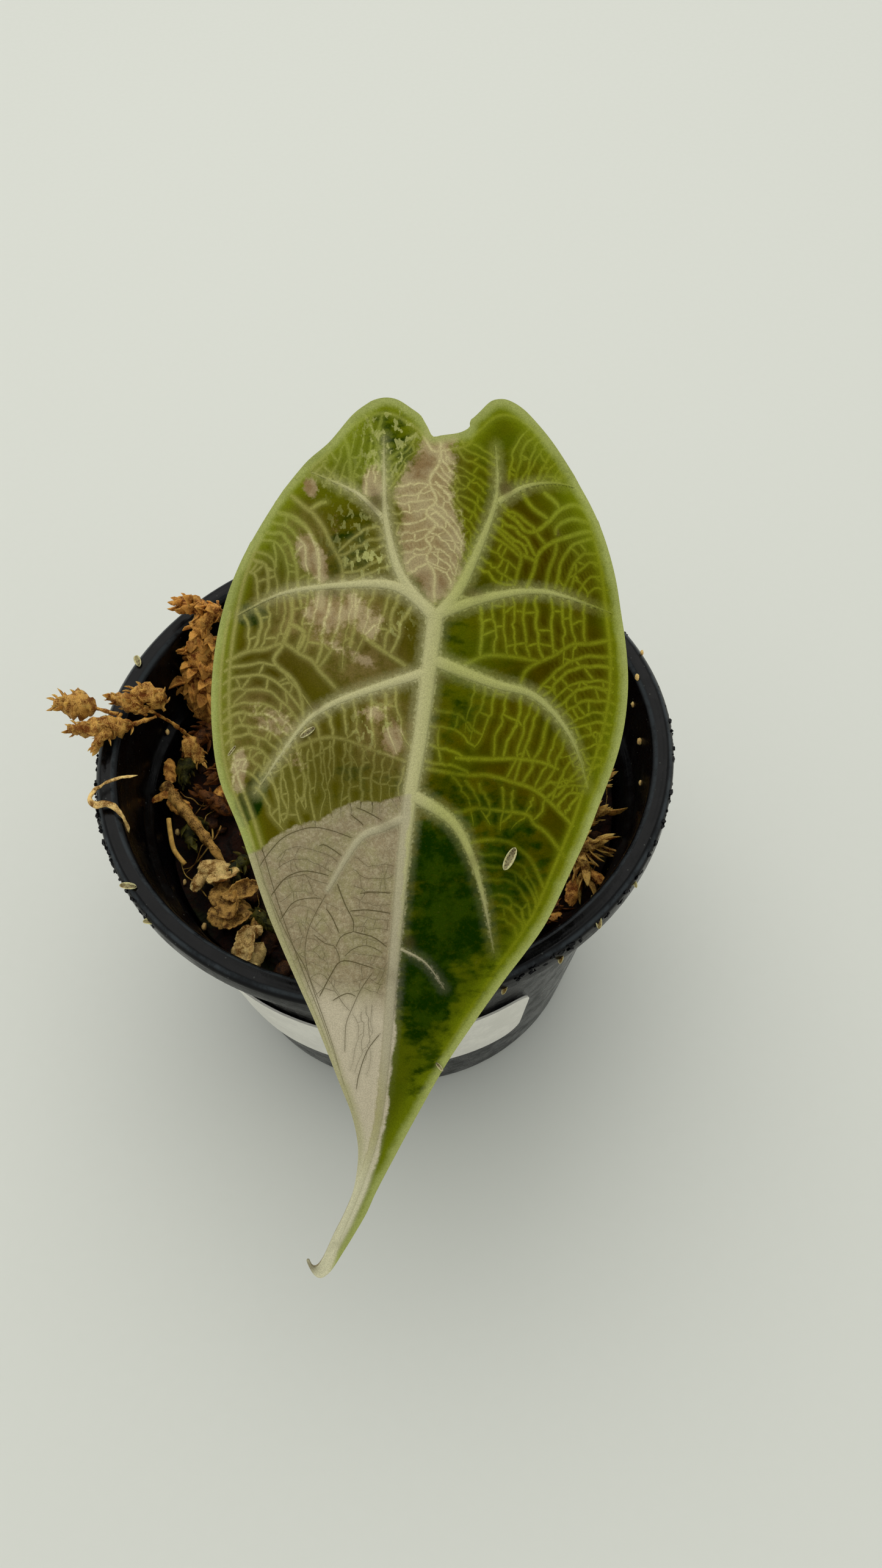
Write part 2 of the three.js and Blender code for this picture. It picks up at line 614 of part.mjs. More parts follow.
// A rib: its top stands just out of the upper face and its belly well out of the lower one
function makeRib({ path, root, end }, grow, sides) {
  const radiusAt = taper(root + grow, end + grow);
  const steps = path.length + 1;
  const points = splineThrough(path).getSpacedPoints(steps).map((point, index) => {
    const depth = taper(root, end)(index / steps) - RIB_STAND;
    return leafPoint(point.x, point.y, bladeLift(point.x, point.y) - depth);
  });
  return stalk(new THREE.CatmullRomCurve3(points), radiusAt, steps, sides, endsOut(steps, grow));
}

function makeLeaf() {
  return joinAll([makeBlade(0), ...NET_RIBS.map((rib) => makeRib(rib, 0, NET_RIB_SIDES))]);
}

// A leafy moss stem: past the bare foot, every other point of its surface is drawn out and
// forward into a pointed scale leaf, with the scales of one ring between those of the next
function mossStem({ path, radius, reach, bare, seed }) {
  const random = seededRandom(seed);
  const curve = curveThrough(path);
  const steps = Math.round(curve.getLength() / SCALE_SPACING);
  const isScale = (step, side) => (step + side) % 2 === 0 && step > bare * steps && step < steps;
  const radiusAt = (along, step, side) => {
    const stem = radius * (1 - STEM_NARROWING * along);
    if (!isScale(step, side)) return stem;
    return stem + reach * (SCALE_REACH.least + SCALE_REACH.spread * random());
  };
  const aheadAt = (step, side) => (isScale(step, side) ? SCALE_LEAN * SCALE_SPACING : 0);
  return stalk(curve, radiusAt, steps, MOSS_SIDES, aheadAt);
}

// A pale curled flake of bark, cupped across its width
function barkFlake({ centre, length, width, thickness, curl, spin, tilt }) {
  const turn = new THREE.Euler(tilt, curl * FLAKE_LEAN, spin, 'XYZ');
  const pointAt = (lift) => (column, row) => {
    const across = (2 * column) / FLAKE_CELLS - 1;
    const along = (2 * row) / FLAKE_CELLS - 1;
    const waist = 1 - FLAKE_WAIST * along ** 2;
    const bend = curl * (across ** 2 + FLAKE_END_CURL * along ** 2);
    return new THREE.Vector3(0.5 * length * along, 0.5 * width * across * waist, bend + lift)
      .applyEuler(turn).add(new THREE.Vector3(...centre));
  };
  return gridShell(FLAKE_CELLS, FLAKE_CELLS, pointAt(thickness), pointAt(0));
}

// Loose pieces lie on the mix and over the lip, cut clear of both by the gap
const mossPieces = {
  moss_sprig_rim: () => joinAll([
    mossStem({
      path: [[-27.2, 9, 40], [-28, 8.4, 47], [-31.4, 6.6, 54.6], [-36, 4.6, 55.4], [-44.6, 4.4, 57]],
      radius: 0.6,
      reach: 2.2,
      bare: 0.42,
      seed: 3,
    }),
    mossStem({
      path: [[-30.4, 6.8, 54], [-31.8, 8.6, 55.6], [-30, 11, 55.6]],
      radius: 0.5,
      reach: 1.8,
      bare: 0.1,
      seed: 4,
    }),
    mossStem({
      path: [[-35, 5, 55.4], [-37.4, 7, 56.4], [-40.8, 7.4, 57.4]],
      radius: 0.5,
      reach: 2,
      bare: 0.1,
      seed: 5,
    }),
    mossStem({
      path: [[-34.6, 4.8, 55.4], [-36.4, 2.2, 55.8], [-37.6, -0.4, 55.6]],
      radius: 0.5,
      reach: 1.9,
      bare: 0.1,
      seed: 6,
    }),
    mossStem({
      path: [[-39, 4.4, 56], [-41.6, 2.6, 56], [-43.6, 1, 55.6]],
      radius: 0.5,
      reach: 1.7,
      bare: 0.1,
      seed: 7,
    }),
  ]),
  moss_spray_back_left: () => joinAll([
    mossStem({
      path: [[-24.6, 13.5, 37.5], [-28, 16.4, 44.5], [-26.6, 20.4, 51], [-25.6, 24, 56], [-29, 25.4, 57]],
      radius: 0.7,
      reach: 2.2,
      bare: 0.1,
      seed: 8,
    }),
    mossStem({
      path: [[-26.8, 19.6, 50], [-23.4, 21, 54], [-21, 23.8, 56.4]],
      radius: 0.6,
      reach: 2,
      bare: 0,
      seed: 9,
    }),
    mossStem({
      path: [[-27.4, 17.4, 46.4], [-24.6, 17.2, 49], [-22.6, 19, 52]],
      radius: 0.6,
      reach: 2,
      bare: 0,
      seed: 10,
    }),
  ]),
  moss_spray_left: () => joinAll([
    mossStem({
      path: [[-16.4, 9.4, 37.4], [-20.4, 6, 40.8], [-25.4, 3, 42.4]],
      radius: 0.7,
      reach: 2.2,
      bare: 0.1,
      seed: 12,
    }),
    mossStem({
      path: [[-16.4, 9.4, 37.8], [-18.6, 2, 40.6], [-19.6, -5.6, 40.4]],
      radius: 0.7,
      reach: 2.2,
      bare: 0.1,
      seed: 13,
    }),
  ]),
  moss_clump_right: () => joinAll([
    mossStem({
      path: [[20.6, -8.4, 37.6], [26, -11.4, 40.6], [31.4, -9.4, 41.4]],
      radius: 0.8,
      reach: 2.2,
      bare: 0,
      seed: 15,
    }),
    mossStem({
      path: [[21.4, -9, 38], [26, -15.4, 40.4], [22.4, -21.4, 39.4]],
      radius: 0.8,
      reach: 2,
      bare: 0.1,
      seed: 16,
    }),
  ]),
  moss_clump_front: () => mossStem({
    path: [[-8, -18.4, 38], [1, -21.4, 40.6], [10, -19, 39]],
    radius: 1,
    reach: 2.2,
    bare: 0,
    seed: 18,
  }),
  moss_clump_back: () => mossStem({
    path: [[-10, 18.6, 38], [0, 22, 40.6], [11, 18.8, 38.8]],
    radius: 1,
    reach: 2.2,
    bare: 0,
    seed: 21,
  }),
  husk_strand: () => stalk(
    curveThrough([[-31.4, 1.6, 42.6], [-28.4, -2.6, 42.2], [-24.8, -7.4, 40.8], [-22.6, -10.8, 38.8]]),
    (along) => HUSK_RADIUS + HUSK_RING * Math.cos(HUSK_RING_RATE * along), HUSK_STEPS, 6),
  dry_root_rim: () => stalk(
    curveThrough([[-31.6, -4.4, 54], [-35, -4.2, 54.5], [-38, -5.2, 54.4], [-38.2, -7.2, 54.3],
      [-35.2, -8.2, 54.3], [-33, -9, 53.2], [-32.6, -10.6, 50.6]]),
    taper(0.6, 0.5), DRY_ROOT_STEPS, 5),
  bark_flake: () => barkFlake({
    centre: [-24.4, -14, 39.6],
    length: 5.4,
    width: 3.6,
    thickness: 0.8,
    curl: -0.9,
    spin: 0.7,
    tilt: 0.35,
  }),
  bark_clump: () => joinAll([
    barkFlake({
      centre: [-21.4, -18.4, 39.4],
      length: 5,
      width: 4,
      thickness: 0.9,
      curl: -1,
      spin: 2,
      tilt: 0.7,
    }),
    barkFlake({
      centre: [-19.4, -17.4, 39.4],
      length: 5,
      width: 3.2,
      thickness: 0.9,
      curl: 0.9,
      spin: 0.5,
      tilt: -0.6,
    }),
    barkFlake({
      centre: [-19.6, -19.6, 39.2],
      length: 4.2,
      width: 3,
      thickness: 0.9,
      curl: -0.8,
      spin: 1.2,
      tilt: 0.2,
    }),
  ]),
  dry_bud: () => joinAll([
    barkFlake({
      centre: [-18.6, -24.6, 39.2],
      length: 5.4,
      width: 3.6,
      thickness: 0.9,
      curl: -1.2,
      spin: 1.1,
      tilt: 0.3,
    }),
    barkFlake({
      centre: [-17.6, -24, 39.4],
      length: 4.8,
      width: 2.8,
      thickness: 0.9,
      curl: 1,
      spin: 1.3,
      tilt: -0.5,
    }),
  ]),
};

const MOSS_COLOURS = {
  moss_sprig_rim: 0xb98346,
  moss_spray_back_left: 0xb0703a,
  moss_spray_left: 0x7d5428,
  moss_clump_right: 0x7a5c30,
  moss_clump_front: 0x5c4524,
  moss_clump_back: 0x5c4524,
  husk_strand: 0xa98a55,
  dry_root_rim: 0xc9bb98,
  bark_flake: 0xd2bf97,
  bark_clump: 0xb79a63,
  dry_bud: 0xc4a06c,
};

const group = new THREE.Group();

function addPiece(name, solid, color, roughness) {
  const material = new THREE.MeshStandardMaterial({ color, roughness, metalness: 0 });
  const mesh = new THREE.Mesh(toGeometry(solid), material);
  mesh.name = name;
  group.add(mesh);
}

const rimRoom = makeRimRoom();
const mixRoom = makeMixPlug(CLEARANCE);

addPiece('pot', makePot(), 0x1b1d20, 0.42);
addPiece('label', makeLabel(), 0xf1f1ee, 0.55);
addPiece('substrate', makeMixPlug(0).subtract(makeTuber(CLEARANCE)), 0x33261a, 0.95);
addPiece('corm', makeTuber(0), 0x6b4a33, 0.8);
addPiece('cataphyll', makeSheath(), 0xb79a6d, 0.7);
addPiece('petiole', makePetiole(), 0x9db275, 0.5);
addPiece('leaf_blade', makeLeaf(), 0x6d7a26, 0.55);
Object.entries(mossPieces).forEach(([name, makePiece]) => {
  const seated = makePiece().subtract(rimRoom).subtract(mixRoom);
  addPiece(name, largestPiece(seated), MOSS_COLOURS[name], 0.85);
});

export default group;
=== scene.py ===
"""Looks of a young variegated watsoniana aroid in its small black nursery pot.

Sizes are in millimetres and turn to metres when a piece is added. The leaf is modelled flat,
as (across, along, height above the blade), and is bent to its place with all of its veins.
"""

import logging
import math
import random
from dataclasses import dataclass
from enum import Enum
from typing import Callable, Iterable, Sequence

import bmesh
import bpy
import numpy as np
from mathutils import Matrix, Vector, kdtree, noise


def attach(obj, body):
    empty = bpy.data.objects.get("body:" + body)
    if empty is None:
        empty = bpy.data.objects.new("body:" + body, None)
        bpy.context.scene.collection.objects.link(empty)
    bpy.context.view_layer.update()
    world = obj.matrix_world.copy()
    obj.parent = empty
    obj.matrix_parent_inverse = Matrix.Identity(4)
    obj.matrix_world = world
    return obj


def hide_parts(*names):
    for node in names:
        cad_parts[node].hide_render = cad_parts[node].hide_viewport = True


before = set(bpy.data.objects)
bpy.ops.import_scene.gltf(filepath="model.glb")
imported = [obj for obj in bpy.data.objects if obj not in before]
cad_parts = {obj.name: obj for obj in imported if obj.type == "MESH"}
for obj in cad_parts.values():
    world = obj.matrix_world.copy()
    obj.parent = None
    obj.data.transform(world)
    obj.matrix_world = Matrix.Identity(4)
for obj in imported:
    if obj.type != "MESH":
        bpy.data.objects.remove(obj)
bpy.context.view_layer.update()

LOG = logging.getLogger("watsoniana")

MM = 0.001
BODY = "root"
GAP = 0.3
TURN = 2 * math.pi

Colour = tuple[float, float, float, float]
Point = tuple[float, ...]
Span = tuple[float, float]
Array = np.ndarray
Mesh = bmesh.types.BMesh
Vert = bmesh.types.BMVert
Layer = bmesh.types.BMLayerItem
Piece = bpy.types.Object
Material = bpy.types.Material
Tree = bpy.types.NodeTree
Node = bpy.types.Node
Socket = bpy.types.NodeSocket


def rgb(red: float, green: float, blue: float) -> Colour:
    """Turns a display colour into a linear one.

    Args:
        red, green, blue: display levels from 0 to 255.

    Returns:
        The linear colour with full alpha.
    """
    def linear(level: float) -> float:
        """One display level as linear light."""
        share = level / 255
        return share / 12.92 if share <= 0.04045 else ((share + 0.055) / 1.055) ** 2.4

    return linear(red), linear(green), linear(blue), 1.0


def smooth(low: float, high: float, value: Array) -> Array:
    """A soft step.

    Args:
        low, high: where the step starts and ends.
        value: the numbers to step.

    Returns:
        0 below low, 1 above high, and a smooth rise between them.
    """
    share = np.clip((value - low) / (high - low), 0.0, 1.0)
    return share * share * (3 - 2 * share)


class Route:
    """A smooth curve through given points, walked evenly by its length."""

    DETAIL = 16

    def __init__(self, points: Sequence[Point]) -> None:
        """Samples the curve once; at() and even() then read it."""
        anchors = np.array(points, float)
        padded = np.vstack([anchors[:1], anchors, anchors[-1:]])
        share = np.linspace(0, 1, self.DETAIL, endpoint=False)[:, None]
        pieces = []
        for before, start, end, after in zip(padded, padded[1:], padded[2:], padded[3:]):
            slope_in = (end - before) / 2
            slope_out = (after - start) / 2
            pieces.append(
                start + slope_in * share
                + (3 * (end - start) - 2 * slope_in - slope_out) * share ** 2
                + (2 * (start - end) + slope_in + slope_out) * share ** 3)
        self.dense = np.vstack([*pieces, anchors[-1:]])
        steps = np.linalg.norm(np.diff(self.dense, axis=0), axis=1)
        self.walked = np.concatenate([[0.0], np.cumsum(steps)])

    @property
    def length(self) -> float:
        """The curve's length."""
        return float(self.walked[-1])

    def at(self, shares: Array) -> Array:
        """Points at the given shares of the length, one row each."""
        wanted = np.asarray(shares, float) * self.walked[-1]
        return np.stack([np.interp(wanted, self.walked, axis) for axis in self.dense.T], -1)

    def even(self, count: int) -> Array:
        """That many evenly spaced points, ends included."""
        return self.at(np.linspace(0, 1, count))

    def walk(self, stride: float, least: int) -> Array:
        """Evenly spaced points about a stride apart, at least so many."""
        return self.even(max(least, int(self.length / stride)))


def sweep(bm: Mesh, path: Array, radii: Array, sides: int,
          flat: float = 1.0, up: Point = (0.0, 0.0, 1.0)) -> list[list[Vert]]:
    """Adds a closed tube along a path; its seam and ends close when doubles are merged.

    Args:
        bm: the mesh that it is added to.
        path: the centre points, one row each.
        radii: the radius at each point.
        sides: how many sides the section has.
        flat: the section's height as a share of its width.
        up: the way that the section's first corner points.

    Returns:
        The rings of vertices from foot to tip; in each the last vertex lies on the first.
    """
    path = np.asarray(path, float)
    tangents = np.gradient(path, axis=0)
    tangents /= np.linalg.norm(tangents, axis=1)[:, None] + 1e-9
    normal = np.array(up, float)
    angles = np.linspace(0, TURN, sides + 1)
    rings = [np.repeat(path[:1], sides + 1, axis=0)]
    for centre, tangent, radius in zip(path, tangents, radii):
        normal = normal - normal.dot(tangent) * tangent
        normal /= np.linalg.norm(normal) + 1e-9
        across = np.cross(tangent, normal)
        rings.append(centre + radius * (
            flat * np.cos(angles)[:, None] * normal + np.sin(angles)[:, None] * across))
    rings.append(np.repeat(path[-1:], sides + 1, axis=0))
    grid = bmesh.ops.create_grid(bm, x_segments=sides, y_segments=len(rings) - 1, size=0.5)["verts"]
    rows = []
    for index, ring in enumerate(rings):
        row = grid[index * (sides + 1):(index + 1) * (sides + 1)]
        for vert, place in zip(row, ring):
            vert.co = place
        row[-1].co = row[0].co
        rows.append(row)
    return rows


def curved_shell(bm: Mesh, columns: int, rows: int,
                 place: Callable[[float, float, float], Sequence[float]]) -> list[Vert]:
    """Adds a closed plate bent to any surface.

    Args:
        bm: the mesh that it is added to.
        columns, rows: its cells across and along.
        place: gives a point from the shares across and along and the layer, 1 outer and 0 inner.

    Returns:
        Its vertices, the outer face's first.
    """
    outer = bmesh.ops.create_grid(bm, x_segments=columns, y_segments=rows, size=0.5)["verts"]
    faces = list(dict.fromkeys(face for vert in outer for face in vert.link_faces))
    pushed = bmesh.ops.extrude_face_region(bm, geom=faces)["geom"]
    inner = [item for item in pushed if isinstance(item, Vert)]
    for layer, verts in ((1.0, outer), (0.0, inner)):
        for vert in verts:
            vert.co = Vector(place(vert.co.x + 0.5, vert.co.y + 0.5, layer))
    return [*outer, *inner]


def tipped_mesh() -> tuple[Mesh, Layer]:
    """A new mesh, and its layer that says how pale each vertex is."""
    bm = bmesh.new()
    return bm, bm.verts.layers.float.new("tip")


def paint(verts: Iterable[Vert], layer: Layer, value: float) -> None:
    """Gives vertices one value in a layer."""
    for vert in verts:
        vert[layer] = value


def polar(radius: float, angle: float, z: float = 0.0) -> Point:
    """A point at a distance and an angle from the upright axis."""
    return radius * math.cos(angle), radius * math.sin(angle), z


def lathe(profile: Sequence[Point], segments: int) -> Mesh:
    """A round body turned about the vertical axis.

    Args:
        profile: (radius, height) points from axis to axis.
        segments: the sides of the full turn.

    Returns:
        A new mesh with its poles and seam closed.
    """
    bm = bmesh.new()
    verts = [bm.verts.new((radius, 0.0, height)) for radius, height in profile]
    edges = [bm.edges.new(pair) for pair in zip(verts, verts[1:])]
    bmesh.ops.spin(bm, geom=[*verts, *edges], cent=(0, 0, 0), axis=(0, 0, 1), dvec=(0, 0, 0),
                   angle=TURN, steps=segments, use_merge=True, use_duplicate=False)
    bmesh.ops.remove_doubles(bm, verts=bm.verts[:], dist=1e-4)
    return bm


def add_piece(name: str, bm: Mesh, material: Material,
              nodes: Iterable[str] = (), sharp_deg: float = 180.0) -> Piece:
    """Turns a millimetre mesh into a piece of the object and frees the mesh.

    Args:
        name: the piece's name.
        bm: its mesh.
        material: its finish.
        nodes: the frame nodes that it stands for.
        sharp_deg: edges bent by more than this stay crisp.

    Returns:
        The new object, riding on the root body.
    """
    bmesh.ops.remove_doubles(bm, verts=bm.verts[:], dist=1e-5)
    bmesh.ops.recalc_face_normals(bm, faces=bm.faces[:])
    bmesh.ops.scale(bm, vec=(MM, MM, MM), verts=bm.verts[:])
    mesh = bpy.data.meshes.new(name)
    bm.to_mesh(mesh)
    bm.free()
    mesh.materials.append(material)
    mesh.polygons.foreach_set("use_smooth", [True] * len(mesh.polygons))
    if sharp_deg < 180:
        mesh.set_sharp_from_angle(angle=math.radians(sharp_deg))
    piece = bpy.data.objects.new(name, mesh)
    bpy.context.scene.collection.objects.link(piece)
    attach(piece, BODY)
    if nodes:
        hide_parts(*nodes)
    mesh.calc_loop_triangles()
    LOG.info("%s: %d triangles", name, len(mesh.loop_triangles))
    return piece


class Wiring:
    """Adds and joins shader nodes in one tree."""

    def __init__(self, tree: Tree) -> None:
        """Keeps the tree that the nodes go into."""
        self.tree = tree

    def node(self, kind: str, **settings: object) -> Node:
        """Adds a node and sets its fields."""
        made = self.tree.nodes.new(kind)
        for key, value in settings.items():
            setattr(made, key, value)
        return made

    def feed(self, socket: Socket, value: object) -> None:
        """Links an output to a socket, or sets the socket's own value."""
        if isinstance(value, Socket):
            self.tree.links.new(value, socket)
        else:
            socket.default_value = value

    def attribute(self, name: str) -> Socket:
        """The mesh attribute of that name."""
        return self.node("ShaderNodeAttribute", attribute_name=name).outputs["Fac"]

    def millimetres(self, stretch: Point = (1.0, 1.0, 1.0)) -> Socket:
        """Object coordinates in millimetres, squeezed by a factor on each axis."""
        mapping = self.node("ShaderNodeMapping")
        self.feed(mapping.inputs["Vector"], self.node("ShaderNodeTexCoord").outputs["Object"])
        mapping.inputs["Scale"].default_value = tuple(factor / MM for factor in stretch)
        return mapping.outputs["Vector"]

    def noise(self, place: Socket, scale: float, detail: float = 3.0,
              roughness: float = 0.55, distortion: float = 0.0) -> Socket:
        """A noise value from about 0.3 to 0.7."""
        made = self.node("ShaderNodeTexNoise")
        self.feed(made.inputs["Vector"], place)
        for key, value in (("Scale", scale), ("Detail", detail), ("Roughness", roughness),
                           ("Distortion", distortion)):
            made.inputs[key].default_value = value
        return made.outputs["Fac"]

    def cells(self, place: Socket, scale: float) -> Socket:
        """The distance output of a cell pattern."""
        made = self.node("ShaderNodeTexVoronoi")
        self.feed(made.inputs["Vector"], place)
        made.inputs["Scale"].default_value = scale
        return made.outputs["Distance"]

    def math(self, operation: str, first: object, second: object = 0.0) -> Socket:
        """One arithmetic step."""
        made = self.node("ShaderNodeMath", operation=operation)
        self.feed(made.inputs[0], first)
        self.feed(made.inputs[1], second)
        return made.outputs[0]

    def product(self, *factors: object) -> Socket:
        """All the factors multiplied."""
        result = factors[0]
        for factor in factors[1:]:
            result = self.math("MULTIPLY", result, factor)
        return result

    def step(self, value: object, low: object, high: object, start: float = 0.0,
             end: float = 1.0) -> Socket:
        """A soft step of a value from start at low to end at high."""
        made = self.node("ShaderNodeMapRange", interpolation_type="SMOOTHSTEP")
        for socket, given in zip(made.inputs[:5], (value, low, high, start, end)):
            self.feed(socket, given)
        return made.outputs["Result"]

    def mix(self, share: object, first: object, second: object, blend: str = "MIX") -> Socket:
        """Blends two colours."""
        made = self.node("ShaderNodeMix", data_type="RGBA", blend_type=blend)
        self.feed(made.inputs["Factor"], share)
        colour_inputs = [item for item in made.inputs if item.type == "RGBA"]
        self.feed(colour_inputs[0], first)
        self.feed(colour_inputs[1], second)
        return next(item for item in made.outputs if item.type == "RGBA")

    def layers(self, base: object, *coats: tuple[object, object]) -> Socket:
        """Lays colours over a base, each coat as its share and its colour."""
        for share, colour in coats:
            base = self.mix(share, base, colour)
        return base

    def bump(self, height: object, depth_mm: float, normal: Socket | None = None) -> Socket:
        """A normal tilted by a height in millimetres."""
        made = self.node("ShaderNodeBump")
        made.inputs["Strength"].default_value = 1.0
        made.inputs["Distance"].default_value = depth_mm * MM
        self.feed(made.inputs["Height"], height)
        if normal is not None:
            self.feed(made.inputs["Normal"], normal)
        return made.outputs["Normal"]

    def use(self, group: Tree, **values: object) -> Node:
        """Places a node group with its inputs set."""
        made = self.node("ShaderNodeGroup", node_tree=group)
        for key, value in values.items():
            self.feed(made.inputs[key], value)
        return made


class Surface(Wiring):
    """A material under way: its nodes and its surface shader."""

    def __init__(self, name: str) -> None:
        """Starts a material of that name."""
        self.material = bpy.data.materials.new(name)
        self.material.use_nodes = True
        super().__init__(self.material.node_tree)
        self.shader = self.tree.nodes["Principled BSDF"]

    def dress(self, colour: Socket, normal: Socket | None, roughness: Socket,
              specular: float = 0.5) -> Material:
        """Joins the finish to the shader.

        Args:
            colour, normal, roughness: what changes over the surface.
            specular: the one gloss level of the whole surface, set on the shader's own socket.

        Returns:
            The finished material.
        """
        for label, value in (("Base Color", colour), ("Normal", normal), ("Roughness", roughness)):
            if value is not None:
                self.feed(self.shader.inputs[label], value)
        self.shader.inputs["Specular IOR Level"].default_value = specular
        return self.material


class Effects:
    """Node groups that several finishes share, each built once."""

    def __init__(self) -> None:
        """Builds the groups."""
        self.mottle = self._mottle()
        self.fibre = self._fibre()

    @staticmethod
    def _start(name: str, inputs: Sequence[tuple[str, str, object]],
               outputs: Sequence[tuple[str, str]]) -> tuple[Wiring, Node, Node]:
        """Starts a group with named sockets and returns its wiring, input and output nodes."""
        tree = bpy.data.node_groups.new(name, "ShaderNodeTree")
        for label, kind, value in inputs:
            socket = tree.interface.new_socket(label, in_out="INPUT", socket_type=kind)
            socket.default_value = value
        for label, kind in outputs:
            tree.interface.new_socket(label, in_out="OUTPUT", socket_type=kind)
        wiring = Wiring(tree)
        return wiring, wiring.node("NodeGroupInput"), wiring.node("NodeGroupOutput")

    @staticmethod
    def _scaled(wiring: Wiring, given: Node, stretch: Point) -> Socket:
        """Millimetre coordinates times the group's Scale input."""
        scaled = wiring.node("ShaderNodeVectorMath", operation="SCALE")
        wiring.feed(scaled.inputs[0], wiring.millimetres(stretch))
        wiring.feed(scaled.inputs["Scale"], given.outputs["Scale"])
        return scaled.outputs[0]

    def _mottle(self) -> Tree:
        """Two tones in soft blotches with a fine speckle."""
        wiring, given, result = self._start(
            "mottle",
            (("Light", "NodeSocketColor", rgb(200, 200, 200)), ("Dark", "NodeSocketColor", rgb(90, 90, 90)),
             ("Scale", "NodeSocketFloat", 1.0)),
            (("Color", "NodeSocketColor"), ("Mask", "NodeSocketFloat")))
        place = self._scaled(wiring, given, (1.0, 1.0, 1.0))
        blotch = wiring.product(wiring.noise(place, 0.5, 4.0, 0.6), 0.7)
        speckle = wiring.product(wiring.noise(place, 4.0, 2.0, 0.6), 0.3)
        mask = wiring.step(wiring.math("ADD", blotch, speckle), 0.38, 0.62)
        tones = wiring.mix(mask, given.outputs["Dark"], given.outputs["Light"])
        wiring.feed(result.inputs["Color"], tones)
        wiring.feed(result.inputs["Mask"], mask)
        return wiring.tree

    def _fibre(self) -> Tree:
        """Fine upright fibres as a height."""
        wiring, given, result = self._start(
            "fibre", (("Scale", "NodeSocketFloat", 1.0),), (("Height", "NodeSocketFloat"),))
        place = self._scaled(wiring, given, (1.0, 1.0, 0.14))
        wiring.feed(result.inputs["Height"], wiring.noise(place, 2.4, 5.0, 0.65, 0.4))
        return wiring.tree


class Tone(Enum):
    """Dry plant litter, from pale flakes to dark peat: a light and a dark tone each."""

    PALE = (rgb(234, 198, 126), rgb(110, 72, 20))
    HUSK = (rgb(192, 148, 74), rgb(72, 42, 6))
    AMBER = (rgb(206, 158, 76), rgb(102, 50, 0))
    RUST = (rgb(216, 156, 72), rgb(98, 46, 2))
    STRAW = (rgb(208, 166, 84), rgb(94, 54, 10))
    EARTH = (rgb(112, 66, 22), rgb(26, 10, 2))
    GREEN = (rgb(72, 68, 12), rgb(16, 20, 2))
    CHAFF = (rgb(206, 196, 144), rgb(50, 32, 8))


@dataclass(frozen=True)
class LitterFinish:
    """Dry moss, bark and husks: two tones in blotches, paler at the tips."""

    tone: Tone
    scale: float = 1.6
    roughest: float = 0.74
    smoothest: float = 0.5
    glow: float = 0.25
    glow_radius: Point = (1.0, 0.5, 0.2)
    glow_mm: float = 0.8
    relief_mm: float = 0.12

    def build(self, effects: Effects) -> Material:
        """Makes the material."""
        wiring = Surface(f"litter_{self.tone.name.lower()}")
        light, dark = self.tone.value
        spots = wiring.use(effects.mottle, Light=light, Dark=dark, Scale=self.scale)
        grain = wiring.use(effects.fibre, Scale=self.scale)
        tip = wiring.attribute("tip")
        colour = wiring.layers(
            spots.outputs["Color"], (wiring.step(tip, 0.35, 1.0, 0.0, 0.55), light),
            (wiring.step(tip, 0.0, 0.35, 0.55, 0.0), dark))
        glow = {"Weight": self.glow, "Radius": self.glow_radius, "Scale": self.glow_mm * MM}
        for label, value in glow.items():
            wiring.shader.inputs[f"Subsurface {label}"].default_value = value
        return wiring.dress(colour, wiring.bump(grain.outputs["Height"], self.relief_mm),
                            wiring.step(spots.outputs["Mask"], 0, 1, self.roughest, self.smoothest), 0.18)


